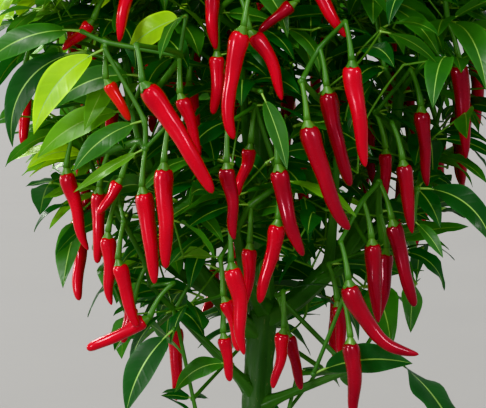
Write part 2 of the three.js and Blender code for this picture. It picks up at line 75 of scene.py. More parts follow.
SEED = 7
RANDOM = {"times": 1664525, "plus": 1013904223, "size": 4294967296}
CLEAR = 1.2
CROWN = {"radius": 180, "widest": 345, "rise": 160, "drop": 262, "taper": 0.55}
NODE_SHELL = {"inner": 0.28, "outer": 0.78, "below_top": 22}
NODE_SPACING = 37.5
NODE_TRIES = 1500
STEM = {
    "tip": (6, 3, 192), "bend": (-3, 0, 100),
    "foot_radius": 15.5, "radius": 10.2, "tip_radius": 8.6, "flare": 17,
}
LIMB_STEPS = 5
BOUGH_SHARE = 0.6
BOUGH_TAPER = 0.35
MASS_STEM = {"steps": 4, "taper": 0.45, "past": 1.6}
JOINT_GAP = 0.3
TWIG = {"fine": 1.2, "growth": 0.32, "sunk": 0.9}
JOIN = {"room": 2.2, "route_weight": 0.35, "tries": 10, "merge": 9}
PEDICEL = {"length": 24, "root": 0.85, "out": 0.28, "share": 0.5}
CALYX_RADIUS = 3.1
FRUIT = {"plump": 3.3, "plump_per_length": 0.052, "steps": 20}
FRUIT_ROWS = ((0.09, 1), (0.6, 0.85))
FRUIT_DRAW = {"share": 0.5, "top_limit": 415, "length": (34, 60), "lean": (0, 14), "curl": (-14, 24)}
LEAF = {"thickness": 0.9, "steps": 20}
# The solids' leaf outline: shares of the length, and the half width there as a share of the greatest
LEAF_OUTLINE = ((0, 0.34, 0.7, 1), (0, 1, 0.66, 0))
# The beads on a leaf: the steps that have them, and as shares of its half width their places and size
LEAF_BEADS = {"first": 4, "every": 2, "across": (-0.62, 0, 0.62), "radius": 0.42}
PART_TRIES = 8
LEAF_DRAW = {
    "per_node": 2, "tries": PART_TRIES, "length": (48, 76), "width": (0.36, 0.46),
    "rise": (-10, 35), "droop": (25, 85), "swing": (-75, 75), "roll": (-40, 40),
}
BEAD_SPACING = 4
FIRST_BEADS = 1024  # how many places the bead arrays start with
MOST_RADIUS = 16  # no bead is larger
OWN_ROOM = 13
OWN_CLOSENESS = 0.6

# The finer growth: its nodes stand closer, and its leaves are smaller and may come closer to each other
FINE = {"spacing": 18.5, "tries": 13000, "inner": 0.1, "outer": 0.84, "below_top": 18, "room": 0.8}
FINE_LEAF = {
    "per_node": 5, "tries": 4, "length": (38, 70), "width": (0.42, 0.54),
    "rise": (-10, 35), "droop": (25, 95), "swing": (-120, 120), "roll": (-45, 45),
}
# More fruit near the crown's edge behind the middle: this share of the finer nodes past these limits
FINE_FRUIT = {"share": 0.28, "edge": 0.55, "front": 25}
# Small young leaves at the tips of twigs that bear nothing else
YOUNG_LEAF = {
    "per_node": 3, "tries": 10, "length": (16, 32), "width": (0.34, 0.44),
    "rise": (-20, 50), "droop": (10, 60), "swing": (-150, 150), "roll": (-50, 50),
}
# Low in the crown the plant is open: finer growth is kept for this share at these heights
FINE_KEPT = ((175, 235), (0.12, 1))
FINE_CLEAR = 0.2
FINE_CLOSENESS = 0.27
FINE_TWIG = 0.62
# Limbs that the front view shows, and between which shares of their length
LIMBS_IN_VIEW = (("stem", 0.6, 1), ("bough_upper_right", 0, 0.7), ("bough_upper_left", 0, 0.4))
LIMB_BEADS = 12  # on each of them

# Each mass of foliage: its name and its heart, the limb that its bough leaves and at what share of that
# limb's length, the bough's radius, and the shares of its way across and up at which it bends
MASS_KEYS = ("name", "heart", "from", "at", "radius", "spread", "lift")
MASS_ROWS = (
    ("top", (2, 8, 428), "stem", 1, 6, 0.35, 0.5),
    ("upper_right", (88, -15, 378), "stem", 0.95, 6.6, 1.12, 0.28),
    ("upper_left", (-80, -30, 368), "stem", 0.9, 5.6, 0.8, 0.25),
    ("back", (-8, 92, 262), "stem", 0.86, 5, 0.85, 0.3),
    ("upper_front", (-8, -72, 362), "bough_top", 0.3, 4, 0.85, 0.35),
    ("upper_back", (-5, 78, 385), "bough_top", 0.42, 3.8, 0.8, 0.3),
    ("front", (-12, -84, 268), "stem", 0.99, 4.2, 0.9, 0.35),
    ("mid_right", (76, -42, 238), "bough_upper_right", 0.33, 3.8, 0.6, 0.5),
    ("right", (110, -8, 300), "bough_upper_right", 0.5, 3.6, 0.75, 0.4),
    ("right_front", (48, -78, 312), "bough_upper_right", 0.42, 3.6, 0.6, 0.35),
    ("left", (-100, -28, 288), "bough_upper_left", 0.4, 3.6, 0.75, 0.35),
    ("back_left", (-80, 62, 300), "bough_back", 0.4, 3.6, 0.7, 0.3),
    ("back_right", (80, 62, 298), "bough_back", 0.5, 3.6, 0.7, 0.35),
    ("low_left", (-62, -48, 212), "stem", 0.7, 3.5, 0.45, 0.45),
    ("low_right", (72, -46, 166), "stem", 0.66, 3.5, 0.5, 0.55),
    ("low_back", (4, 66, 178), "stem", 0.76, 3.4, 0.55, 0.45),
)
MASSES = [dict(zip(MASS_KEYS, row)) for row in MASS_ROWS]

# Fruit that the photograph shows, on the mass that bears it: across, height and depth of its shoulder,
# length, lean to the right, and curl along its length
FRUITS_IN_VIEW = {
    "upper_left": (
        (-74, 408, -90, 48, -10, 0), (-67, 329, -138, 68, 38, -12), (-45, 322, -104, 33, 18, 0),
        (-90, 331, -98, 24, 30, 0), (-101, 368, -72, 22, -45, 0),
    ),
    "upper_front": (
        (-29, 402, -98, 46, 8, -4), (28, 402, -108, 46, 36, -5), (-8, 363, -126, 60, -24, 40),
        (-1, 361, -112, 40, 38, -28), (-23, 348, -96, 33, 2, -12), (23, 379, -104, 24, -55, 10),
    ),
    "front": (
        (-3, 291, -98, 28, -14, 0), (-17, 279, -120, 40, 3, 6), (15, 278, -122, 50, 8, 16),
        (14, 244, -100, 46, -12, 0), (-3, 229, -90, 34, -4, 0), (-14, 217, -110, 50, 9, -2),
        (-18, 196, -96, 30, 20, -10),
    ),
    "mid_right": (
        (59, 206, -104, 60, 8, 74), (73, 232, -86, 46, 4, 2), (86, 244, -72, 50, 14, 2),
        (52, 193, -56, 32, 5, 0), (82, 226, -60, 40, -6, 0),
    ),
    "right": ((103, 314, -62, 44, 2, 6), (92, 281, -82, 40, 8, 0), (81, 288, -50, 26, 0, 0)),
    "right_front": ((60, 342, -124, 56, 4, 8), (45, 326, -114, 54, 9, 10), (33, 305, -128, 62, 9, 26)),
    "left": (
        (-56, 279, -118, 56, 0, 2), (-69, 264, -110, 52, 10, -6), (-116, 276, -46, 48, 8, 14),
        (-96, 264, -62, 42, -2, 0), (-84, 270, -76, 22, -32, 0),
    ),
    "low_left": (
        (-91, 236, -72, 40, -4, 14), (-84, 219, -82, 38, 10, 12), (-68, 184, -76, 38, -60, -6),
        (-19, 173, -80, 26, 8, 0), (-76, 192, -58, 22, -15, 0),
    ),
    "low_right": ((60, 170, -98, 46, 2, 2), (18, 176, -54, 34, -10, 0), (21, 174, -34, 34, 14, 0)),
}

# Leaves that it shows: across, height and depth of the node, heading in plan, length, width, rise, droop,
# roll, and colour, whose tone is painted light and shade: lit leaves are light or bright, shaded ones deep
LEAVES_IN_VIEW = {
    "upper_right": (
        (118, 368, -60, 350, 84, 30, 5, 115, -50, "mid"),
        (80, 340, -70, 215, 46, 20, -35, 40, 30, "deep"),
    ),
    "upper_left": (
        (-106, 363, -85, 182, 66, 22, 8, 60, -40, "mid"),
        (-42, 372, -95, 150, 44, 24, -10, 30, -60, "bright"),
    ),
    "upper_front": ((4, 326, -118, 315, 48, 15, -55, 20, 25, "mid"),),
    "right": (
        (101, 266, -62, 345, 60, 22, 5, 85, -55, "deep"),
        (99, 246, -62, 320, 30, 11, -30, 30, 20, "mid"),
    ),
    "left": (
        (-102, 350, -58, 172, 84, 24, 0, 105, -62, "deep"),
        (-92, 352, -100, 200, 66, 24, -20, 60, -50, "bright"),
        (-84, 342, -66, 212, 44, 18, -52, 15, -55, "light"),
        (-68, 335, -78, 183, 62, 20, 12, 66, -42, "mid"),
        (-76, 314, -66, 184, 64, 22, 0, 55, -40, "light"),
        (-68, 308, -104, 200, 52, 18, -10, 50, -35, "mid"),
        (-66, 290, -108, 190, 48, 9, -25, 12, -40, "light"),
    ),
    "low_left": (
        (-50, 178, -82, 215, 58, 25, -30, 50, -30, "deep"),
        (-14, 156, -60, 195, 42, 16, 15, 80, -50, "mid"),
    ),
    "low_right": (
        (37, 150, -80, 350, 60, 25, 28, 42, -55, "deep"),
        (86, 160, -50, 322, 68, 38, -22, 45, -25, "deep"),
    ),
}

# The sizes of the meshes. Heights and depths are shares of the radius or width that they change.

LIMB_MESH = {"stem_sides": 64, "sides": 36, "spacing": 2.2}
ROUND_END = np.radians((30, 55, 75, 88))  # the turns at which a rounded end has a ring
LIMB_SKIN = {
    "rib_count": 6, "ribs": 0.065, "ripple": 0.018, "cracks": 0.022, "knobs": 0.02,
    "cracked_up_to": 120,
}
# A limb, a bough or a twig swells by this share, within this reach, where another one leaves it
FORK_SWELL = (0.035, 6)
NODE_SWELL = (0.16, 3.2)
TWIG_SWELL = (0.3, 2.5)
# A bough widens towards its root, to a share of its parent's radius, within some of those radii
ROOT_SWELL = {"most": 0.9, "of_parent": 0.85, "reach": 1.5}
TWIG_MESH = {"spacing": 4, "sides": 7, "fine_sides": 5, "stretch": 30}
TURN_LIMIT = 0.45  # a twig's least cosine between one stretch and the next

# A leaf's blade starts after its stalk. Its rows go along it, and its columns across it, with the midrib
# between the middle two.
STALK = 0.15
BLADE_ROWS = np.array((0, 0.03, 0.08, 0.15, 0.24, 0.34, 0.45, 0.57, 0.69, 0.8, 0.89, 0.95, 0.985, 1))
BLADE_COLUMNS = np.array((-1, -0.52, -0.05, 0.05, 0.52, 1))
# Each leaf draws its own value between each of these pairs, in this order
BLADE = {
    "fold": (0.12, 0.4), "curl": (-0.4, 0), "wave": (0.015, 0.05), "beat": (1.2, 2.6), "phase": (0, 6.28),
}
MIDRIB_DEPTH = 0.012
# The leaf's own stalk: its radius grows with the leaf, and it reaches past the blade's start
LEAF_STALK = {"radius": 0.35, "per_length": 0.009, "past": 0.03, "sides": 5}
LEAF_STALK_PROFILE = np.array((1.3, 0.9, 0.8, 0.55))
BROADER = 1.18  # leaves whose place is known from the photograph are this much broader than their solids
TWIST = (-30, 30)
# Those leaves twist up to this far either way, in steps, and less far where that loses little
SHOWN_TWIST = {"most": 60, "step": 10, "cost": 0.15}

# The fruit's radius along its length, as shares of the greatest, for a pointed one and a blunt one
FRUIT_SHARES = np.array(
    (0, 0.008, 0.025, 0.055, 0.1, 0.17, 0.28, 0.42, 0.57, 0.7, 0.81, 0.9, 0.955, 0.985, 1)
)
POINTED = np.array(
    (0.35, 0.6, 0.84, 0.96, 1.02, 1, 0.94, 0.87, 0.78, 0.68, 0.54, 0.37, 0.23, 0.12, 0.02)
)
BLUNT = np.array(
    (0.35, 0.6, 0.84, 0.96, 1.02, 0.99, 0.92, 0.86, 0.81, 0.76, 0.69, 0.59, 0.46, 0.3, 0.03)
)
FRUIT_MESH = {"rows": 38, "sides": 22, "slim": 0.86, "pucker": 0.02}
# Each fruit draws its own value between each of these pairs, in this order
FRUIT_SHAPE = {
    "blunt": (0.1, 1), "waist": (0, 0.16), "phase": (0, 6.28), "sway": (0.1, 0.42),
    "twist": (-0.02, 0.02), "lobes": (0.03, 0.08), "dents": (0.02, 0.06),
}
# The fruit's stalk, as radii at shares of its length, and the calyx, the toothed cup at its end
STALK_PROFILE = ((0, 0.12, 0.6, 1), (1.7, 1.3, 1.4, 2.0))
# It bows upwards and outwards by shares of its reach, and ends short of the shoulder
STALK_MESH = {"rows": 9, "sides": 9, "rise": 0.16, "out": 0.05, "short": 3}
CALYX = {
    "above": 3.4, "length": 4.6, "radius": 0.52, "sides": 20, "teeth": 5, "tooth": 0.8,
    "wave": 0.05, "smooth": 2,
}
CALYX_ROWS = np.array((0, 0.2, 0.45, 0.7, 0.88, 1))
CALYX_RADII = np.array((0.5, 0.6, 0.78, 1, 1.14, 1.2))

# The pieces that the leaves are joined into, and the masses whose leaves each one holds
LEAF_PIECES = {
    "leaves_top": ("top", "upper_back"),
    "leaves_upper": ("upper_right", "upper_left", "upper_front"),
    "leaves_middle": ("right", "right_front", "left", "back_left", "back_right"),
    "leaves_lower": ("back", "front", "mid_right", "low_left", "low_right", "low_back"),
}

# Colours: a dark and a pale one for each tone, and where the tones change over. The leaf tones are painted
# light and shade: deep is a leaf in shade, light and bright are leaves lit by the sun with light shining
# through them
LEAF_COLOURS = {
    "deep": ((0.01, 0.058, 0.014), (0.02, 0.095, 0.02)),
    "mid": ((0.022, 0.11, 0.018), (0.048, 0.18, 0.024)),
    "light": ((0.075, 0.24, 0.02), (0.14, 0.36, 0.026)),
    "bright": ((0.23, 0.47, 0.018), (0.38, 0.62, 0.03)),
}
TONES = list(LEAF_COLOURS)
MIDRIB = len(TONES)  # the midrib's colour comes after the leaf colours
# A spray of leaves gets a painted-light tone: it is brighter near the crown's edge, higher up over a span,
# and to the left, where the light falls, and darker as painted shade inside the crown, with a spread
PAINTED_SPRAY_LIGHT = {"edge": 0.55, "height": 0.4, "low": 120, "span": 380, "left": 0.12, "spread": 0.2}
SPRAY_STEPS = (0.52, 0.8, 0.98)
# In this order the fruit's colours go from the plant's left to its right, with a random spread. This is
# painted light and shade: dark is fruit in shade on the right, and orange at the lit left is partly painted
# light and partly the fruit's own colour
FRUIT_COLOURS = {
    "orange": ((0.52, 0.007, 0.004), (0.63, 0.022, 0.007)),
    "ripe": ((0.38, 0.0008, 0.005), (0.56, 0.003, 0.009)),
    "dark": ((0.16, 0.0005, 0.003), (0.3, 0.001, 0.005)),
}
FRUIT_STEPS = (-1.5, 0.35)
FRUIT_PAINTED_SHADE = {"spread": 0.4, "across": 90}  # the spread, and the millimetres across for each step of painted shade, darker to the right
# A dark and a pale green for each kind of skin
SKIN_COLOURS = {
    "bough_skin": ((0.02, 0.09, 0.012), (0.05, 0.165, 0.024)),
    "twig_young": ((0.07, 0.21, 0.024), (0.12, 0.3, 0.04)),
    "twig_green": ((0.028, 0.12, 0.015), (0.065, 0.2, 0.027)),
    "calyx": ((0.05, 0.17, 0.022), (0.13, 0.29, 0.045)),
    "fruit_stalk": ((0.04, 0.155, 0.02), (0.095, 0.26, 0.035)),
}

# The suns: name, azimuth from the right, height, strength, colour and width of the disc, in degrees
LIGHTS = (
    ("key", 238, 43, 1.9, (1.0, 0.97, 0.92), 12),
    ("rim", 125, 40, 2.6, (1.0, 0.98, 0.92), 12),
    ("streak", 228, 4, 1.0, (1.0, 0.97, 0.93), 9),
    ("edge", 155, 10, 1.4, (1.0, 0.96, 0.88), 10),
    ("sheen", 306, 24, 0.65, (1.0, 0.97, 0.97), 14),
)
LIGHT_MIDDLE = (0, 0, 0.3)
SKY = {"colour": (0.9, 0.9, 0.9, 1), "strength": 0.6}
FLOOR_SIDE = 9.0

# Small helpers

UP = np.array((0.0, 0.0, 1.0))


def vec(x, y, z):
    return np.array((x, y, z), float)


def size_of(v):
    return math.sqrt(v[0] * v[0] + v[1] * v[1] + v[2] * v[2])


def unit(v):
    return v / size_of(v)


def mix(ends, share):
    return ends[0] + (ends[1] - ends[0]) * share


def turned(v, axis, angle):
    """v turned about a unit axis by an angle in radians."""
    cos, sin = math.cos(angle), math.sin(angle)
    return v * cos + np.cross(axis, v) * sin + axis * (axis @ v) * (1 - cos)


random_state = SEED


def random():
    """The next random number from 0 up to 1, the same as the rule of the solids draws."""
    global random_state
    random_state = (random_state * RANDOM["times"] + RANDOM["plus"]) % RANDOM["size"]
    return random_state / RANDOM["size"]


def seen(across, height, depth):
    """The place at this depth on the line of sight through a place in the plane of the stem."""
    return EYE + (vec(across, 0, height) - EYE) * ((depth - EYE[1]) / -EYE[1])


def crown_radius(height):
    above = (height - CROWN["widest"]) / CROWN["rise"]
    below = (CROWN["widest"] - height) / CROWN["drop"]
    if above > 0:
        return CROWN["radius"] * math.sqrt(max(0, 1 - above * above))
    return CROWN["radius"] * max(0, 1 - below) ** CROWN["taper"]


def in_box(points):
    return bool(np.all((points > cad_box[0] / MM) & (points < cad_box[1] / MM)))


def in_crown(points):
    reach = np.array([crown_radius(height) for height in points[:, 2]])
    return bool(np.all(np.hypot(points[:, 0], points[:, 1]) < reach))


def outwards(point):
    return unit(vec(point[0], point[1], 0))


# What stands where: beads along every limb, twig, leaf and fruit, each with its owner


class Beads:
    """Places, radii and owners, in arrays that grow."""

    def __init__(self):
        self.count = 0
        self.at = np.zeros((FIRST_BEADS, 3))
        self.radius = np.zeros(FIRST_BEADS)
        self.owner = np.zeros(FIRST_BEADS, int)

    def add(self, at, radius, owner):
        needed = self.count + len(at)
        while needed > len(self.at):
            self.at = np.concatenate((self.at, np.zeros_like(self.at)))
            self.radius = np.concatenate((self.radius, np.zeros_like(self.radius)))
            self.owner = np.concatenate((self.owner, np.zeros_like(self.owner)))
        self.at[self.count:needed] = at
        self.radius[self.count:needed] = radius
        self.owner[self.count:needed] = owner
        self.count = needed

    def near(self, at, reach):
        """The beads that stand in the box round these places, as places, radii and owners."""
        low, high = at.min(0) - reach, at.max(0) + reach
        mine = self.at[:self.count]
        found = np.nonzero(np.all((mine > low) & (mine < high), axis=1))[0]
        return mine[found], self.radius[found], self.owner[found]


taken = Beads()
shown = Beads()  # the parts that the front view shows
owners = {}


def owner_of(name):
    return owners.setdefault(name, len(owners))


def beads_along(places, radii):
    at, radius = [], []
    for i in range(1, len(places)):
        count = math.ceil(size_of(places[i] - places[i - 1]) / BEAD_SPACING)
        share = np.arange(count + 1) / count
        at.append(places[i - 1] + (places[i] - places[i - 1]) * share[:, None])
        radius.append(radii[i - 1] + (radii[i] - radii[i - 1]) * share)
    return np.concatenate(at), np.concatenate(radius)


def is_clear(beads, name, clear=CLEAR):
    """Whether the beads keep clear of everything that another owner has."""
    at, radius = beads
    other_at, other_radius, owner = taken.near(at, radius.max() + MOST_RADIUS + clear)
    others = owner != owner_of(name)
    apart = np.linalg.norm(at[:, None] - other_at[None, others], axis=2)
    return bool(np.all(apart > radius[:, None] + other_radius[others] + clear))


def is_loose(beads, name, node, closeness=OWN_CLOSENESS):
    """Whether the beads away from their node don't crowd what their own mass has."""
    at, radius = beads
    far = np.linalg.norm(at - node, axis=1) >= OWN_ROOM
    at, radius = at[far], radius[far]
    if not len(at):
        return True
    other_at, other_radius, owner = taken.near(at, radius.max() + MOST_RADIUS)
    own = owner == owner_of(name)
    apart = np.linalg.norm(at[:, None] - other_at[None, own], axis=2)
    return bool(np.all(apart > closeness * (radius[:, None] + other_radius[own])))


def hides_shown(beads):
    """Whether a bead stands in the line of sight to a part that the front view shows."""
    at, radius = beads
    sight = shown.at[:shown.count] - EYE
    away = at - EYE
    reach = (away @ sight.T) / np.sum(sight * sight, axis=1)
    off = np.linalg.norm(sight[None] * reach[:, :, None] - away[:, None], axis=2)
    hidden = (reach < 1) & (off < radius[:, None] + shown.radius[:shown.count])
    return bool(np.any(hidden))


# Limbs: the stem and the boughs


class Limb:
    """A quadratic curve from start to end, of which the limb is the first share."""

    def __init__(self, start, bend, end, share, radius_at):
        self.ends = (start, bend, end)
        self.share = share
        self.radius_at = radius_at

    def point(self, share):
        start, bend, end = self.ends
        rest = 1 - share
        return rest * rest * start + 2 * rest * share * bend + share * share * end

    def along(self, share):
        return unit(self.point(min(share + 0.0001, 1)) - self.point(max(share - 0.0001, 0)))


limbs = {}


def add_limb(name, limb):
    shares = [i / LIMB_STEPS for i in range(LIMB_STEPS + 1)]
    places = [limb.point(share * limb.share) for share in shares]
    limbs[name] = limb
    taken.add(*beads_along(places, [limb.radius_at(share) for share in shares]), owner_of(name))


def add_stem():
    def radius_at(share):
        flare = (STEM["foot_radius"] - STEM["radius"]) * math.exp(-share * STEM["tip"][2] / STEM["flare"])
        return mix((STEM["radius"], STEM["tip_radius"]), share) + flare

    add_limb("stem", Limb(vec(0, 0, 0), vec(*STEM["bend"]), vec(*STEM["tip"]), 1, radius_at))


def add_bough(mass):
    parent = limbs[mass["from"]]
    start = parent.point(mass["at"] * parent.share)
    heart = vec(*mass["heart"])
    bend = start + (heart - start) * vec(mass["spread"], mass["spread"], mass["lift"])
    limb = Limb(start, bend, heart, BOUGH_SHARE, lambda share: mass["radius"] * (1 - BOUGH_TAPER * share))
    add_limb("bough_" + mass["name"], limb)


# Masses: nodes joined by twigs, with leaves and fruit on them


class Node:
    """A place where twigs meet, with its route back to the bough and the load of nodes that it carries."""

    def __init__(self, at, parent, route, on_stem=False, fine=False):
        self.at = at
        self.parent = parent
        self.route = route
        self.on_stem = on_stem
        self.fine = fine
        self.load = 1
        self.bears = False


def start_mass(mass):
    limb = limbs["bough_" + mass["name"]]
    places, radii = [], []
    for i in range(MASS_STEM["steps"] + 1):
        step = i / MASS_STEM["steps"]
        places.append(limb.point(mix((BOUGH_SHARE, 1), step)))
        radii.append(limb.radius_at(1) * (1 - MASS_STEM["taper"] * step))
    middle = places[MASS_STEM["steps"] // 2]
    lower = Node(middle.copy(), None, size_of(middle - places[0]), on_stem=True)
    upper = Node(places[-1].copy(), lower, size_of(places[-1] - places[0]), on_stem=True)
    mass["nodes"] = [lower, upper]
    mass["fruit_parts"] = []
    mass["leaf_parts"] = []
    places[0] = places[0] + limb.along(BOUGH_SHARE) * JOINT_GAP
    places[-1] = places[-1] + limb.along(1) * MASS_STEM["past"]
    mass["root"] = places[0]
    mass["centre"] = vec(*mass["heart"])
    taken.add(*beads_along(places, radii), owner_of(mass["name"]))


def join(mass, point, room=JOIN["room"], clear=CLEAR, fine=False):
    nodes = mass["nodes"]
    apart = np.linalg.norm(np.array([node.at for node in nodes]) - point, axis=1)
    cost = apart + JOIN["route_weight"] * np.array([node.route for node in nodes])
    for i in np.argsort(cost, kind="stable")[:JOIN["tries"]]:
        node = nodes[i]
        beads = beads_along([node.at, point], [room, room])
        if not is_clear(beads, mass["name"], clear) or (fine and hides_shown(beads)):
            continue
        nodes.append(Node(point, node, node.route + apart[i], fine=fine))
        taken.add(*beads, owner_of(mass["name"]))
        return nodes[-1]
    return None


def hanging(lean, azimuth):
    lean, azimuth = math.radians(lean), math.radians(azimuth)
    return vec(math.sin(lean) * math.cos(azimuth), math.sin(lean) * math.sin(azimuth), -math.cos(lean))


def pedicel_of(lean, azimuth, point):
    return (hanging(lean * PEDICEL["share"], azimuth) + outwards(point) * PEDICEL["out"]) * PEDICEL["length"]


class Fruit:
    def __init__(self, node, shoulder, length, lean, curl, azimuth):
        self.node, self.shoulder, self.length = node, shoulder, length
        self.lean, self.curl, self.azimuth = lean, curl, azimuth
        steps = FRUIT["steps"]
        moves = [self.along((i + 0.5) / steps) * length / steps for i in range(steps)]
        self.line = np.cumsum([shoulder, *moves], axis=0)
        self.reach = self.line
        self.radius = FRUIT["plump"] + FRUIT["plump_per_length"] * length
        stalk = unit(shoulder - node)
        places, radii = [node - stalk * TWIG["sunk"], shoulder], [PEDICEL["root"], CALYX_RADIUS]
        for share, size in FRUIT_ROWS:
            places.append(self.line[round(share * steps)])
            radii.append(size * self.radius)
        self.beads = beads_along([*places, self.line[steps]], [*radii, 0])

    def along(self, share):
        return hanging(self.lean + self.curl * share, self.azimuth)


class Leaf:
    def __init__(self, node, heading, length, width, rise, droop, roll, tone=None):
        self.node, self.length, self.width, self.tone = node, length, width, tone
        steps = LEAF["steps"]
        flat = vec(math.cos(math.radians(heading)), math.sin(math.radians(heading)), 0)
        climb = np.radians(rise - droop * np.arange(steps + 1) / steps)
        self.alongs = flat * np.cos(climb)[:, None] + UP * np.sin(climb)[:, None]
        middle = np.radians(rise - droop * 0.5)
        middle_along = flat * math.cos(middle) + UP * math.sin(middle)
        self.across = turned(np.cross(UP, flat), middle_along, math.radians(roll))
        start = node - self.alongs[0] * TWIG["sunk"]
        self.line = np.cumsum([start, *(self.alongs[:-1] * length / steps)], axis=0)
        normals = np.cross(self.alongs, self.across)
        self.normals = normals / np.linalg.norm(normals, axis=1)[:, None]
        rows = np.arange(LEAF_BEADS["first"], steps + 1, LEAF_BEADS["every"])
        half = width / 2 * np.interp(rows / steps, *LEAF_OUTLINE)
        sides = np.array(LEAF_BEADS["across"])
        at = self.line[rows][:, None] + self.across * (half[:, None] * sides)[:, :, None]
        radius = np.repeat(LEAF_BEADS["radius"] * half + LEAF["thickness"], len(sides))
        self.beads = (at.reshape(-1, 3), radius)
        half_across = self.across * width / 2
        self.reach = np.concatenate((self.line, self.line + half_across, self.line - half_across))


def add_part(mass, kind, part):
    mass[kind].append(part)
    taken.add(*part.beads, owner_of(mass["name"]))


def dress_front(mass):
    """The fruit and leaves whose place the photograph gives, from the bough's tip outwards."""
    wanted = []
    for across, height, depth, length, lean, curl in FRUITS_IN_VIEW.get(mass["name"], ()):
        shoulder = seen(across, height, depth)
        wanted.append((shoulder - pedicel_of(lean, 0, shoulder), shoulder, (length, lean, curl, 0)))
    for across, height, depth, *shape in LEAVES_IN_VIEW.get(mass["name"], ()):
        wanted.append((seen(across, height, depth), None, shape))
    wanted.sort(key=lambda item: size_of(item[0] - mass["root"]))
    for node, shoulder, shape in wanted:
        near = next((other for other in mass["nodes"] if size_of(other.at - node) < JOIN["merge"]), None)
        foot = node if near is None else near.at
        part = Leaf(foot, *shape) if shoulder is None else Fruit(foot, shoulder, *shape)
        if not (is_clear(part.beads, mass["name"]) and is_loose(part.beads, mass["name"], foot)):
            continue
        if near is None and not join(mass, foot):
            continue
        add_part(mass, "leaf_parts" if shoulder is None else "fruit_parts", part)
        if shoulder is not None:
            shown.add(*part.beads, 0)


def heart_nearest(point):
    return min(MASSES, key=lambda mass: size_of(point - mass["centre"]))


def random_in_crown(shell):
    top = CROWN["widest"] + CROWN["rise"] - shell["below_top"]
    height = mix((CROWN["widest"] - CROWN["drop"], top), random())
    azimuth = math.radians(random() * 360)
    share = math.sqrt(mix((shell["inner"] ** 2, shell["outer"] ** 2), random()))
    radius = crown_radius(height)
    kept = random() < (radius / CROWN["radius"]) ** 2
    away = radius * share
    return vec(away * math.cos(azimuth), away * math.sin(azimuth), height) if kept else None


def draw_from(ranges, *keys):
    return [mix(ranges[key], random()) for key in keys]


def random_leaf(node, sizes):
    swing, length, slimness, *bends = draw_from(sizes, "swing", "length", "width", "rise", "droop", "roll")
    heading = math.degrees(math.atan2(node[1], node[0])) + swing
    return Leaf(node, heading, length, length * slimness, *bends)


def random_fruit(node):
    azimuth = random() * 360
    lean, length, curl = draw_from(FRUIT_DRAW, "lean", "length", "curl")
    return Fruit(node, node + pedicel_of(lean, azimuth, node), length, lean, curl, azimuth)


def is_free(mass, part, clear=CLEAR, closeness=OWN_CLOSENESS):
    name = mass["name"]
    return (in_crown(part.beads[0]) and is_clear(part.beads, name, clear)
            and is_loose(part.beads, name, part.node, closeness) and not hides_shown(part.beads))


def mark_bearing(node):
    while node and not node.bears:
        node.bears = True
        node = node.parent


def try_part(mass, kind, node, draw, tries=PART_TRIES, fine=False):
    """Draws a part until one finds room. Finer growth needs less room, but keeps in the solids' box."""
    rooms = (FINE_CLEAR, FINE_CLOSENESS) if fine else (CLEAR, OWN_CLOSENESS)
    for _ in range(tries):
        part = draw(node.at)
        if (not fine or in_box(part.reach)) and is_free(mass, part, *rooms):
            add_part(mass, kind, part)
            mark_bearing(node)
            return


def add_leaves(mass, node, sizes, fine=False):
    for _ in range(sizes["per_node"]):
        try_part(mass, "leaf_parts", node, lambda at: random_leaf(at, sizes), sizes["tries"], fine)


def spread_points(shell, spacing, tries):
    """Points drawn at random in the crown, each given to the mass whose heart is nearest."""
    points = {mass["name"]: [] for mass in MASSES}
    standing = Beads()
    standing.add(np.array([node.at for mass in MASSES for node in mass["nodes"]]), 0, 0)
    for _ in range(tries):
        point = random_in_crown(shell)
        if point is None:
            continue
        if np.linalg.norm(standing.at[:standing.count] - point, axis=1).min() < spacing:
            continue
        standing.add(point[None], 0, 0)
        points[heart_nearest(point)["name"]].append(point)
    for mass in MASSES:
        points[mass["name"]].sort(key=lambda point: size_of(point - mass["root"]))
    return points


def each_node():
    for mass in MASSES:
        for node in mass["nodes"]:
            yield mass, node


def bears_fruit(node):
    low = not node.on_stem and node.at[2] < FRUIT_DRAW["top_limit"]
    return low and random() < FRUIT_DRAW["share"]


def grow():
    """The plant as its solids have it."""
    add_stem()
    for mass in MASSES:
        add_bough(mass)
    for mass in MASSES:
        start_mass(mass)
    for mass in MASSES:
        dress_front(mass)
    points = spread_points(NODE_SHELL, NODE_SPACING, NODE_TRIES)
    for mass in MASSES:
        for point in points[mass["name"]]:
            join(mass, point)
    for mass, node in each_node():
        if bears_fruit(node):
            try_part(mass, "fruit_parts", node, random_fruit)
    for mass, node in each_node():
        add_leaves(mass, node, LEAF_DRAW)
    for _, node in each_node():
        back = node.parent
        while back:
            back.load += 1
            back = back.parent


def grow_finer():
    """Finer twigs between the nodes, and smaller leaves on them, within the same crown."""
    points = spread_points(FINE, FINE["spacing"], FINE["tries"])
    for mass in MASSES:
        for point in points[mass["name"]]:
            if random() < np.interp(point[2], *FINE_KEPT):
                join(mass, point, FINE["room"], FINE_CLEAR, fine=True)
    for mass, node in each_node():
        if bears_late_fruit(node):
            try_part(mass, "fruit_parts", node, random_fruit, fine=True)
    for mass, node in each_node():
        if random() < np.interp(node.at[2], *FINE_KEPT) or node.on_stem:
            add_leaves(mass, node, FINE_LEAF, fine=True)
    for mass in MASSES:
        mass["nodes"] = [node for node in mass["nodes"] if node.bears or not node.fine]
        inner = {node.parent for node in mass["nodes"]}
        dressed = {tuple(np.round(part.node)) for part in mass["leaf_parts"] + mass["fruit_parts"]}
        for node in mass["nodes"]:
            if node not in inner and tuple(np.round(node.at)) not in dressed:
                add_leaves(mass, node, YOUNG_LEAF, fine=True)


def bears_late_fruit(node):
    x, y, height = node.at
    outside = math.hypot(x, y) > FINE_FRUIT["edge"] * crown_radius(height) and y > FINE_FRUIT["front"]
    return node.fine and outside and height < FRUIT_DRAW["top_limit"] and random() < FINE_FRUIT["share"]


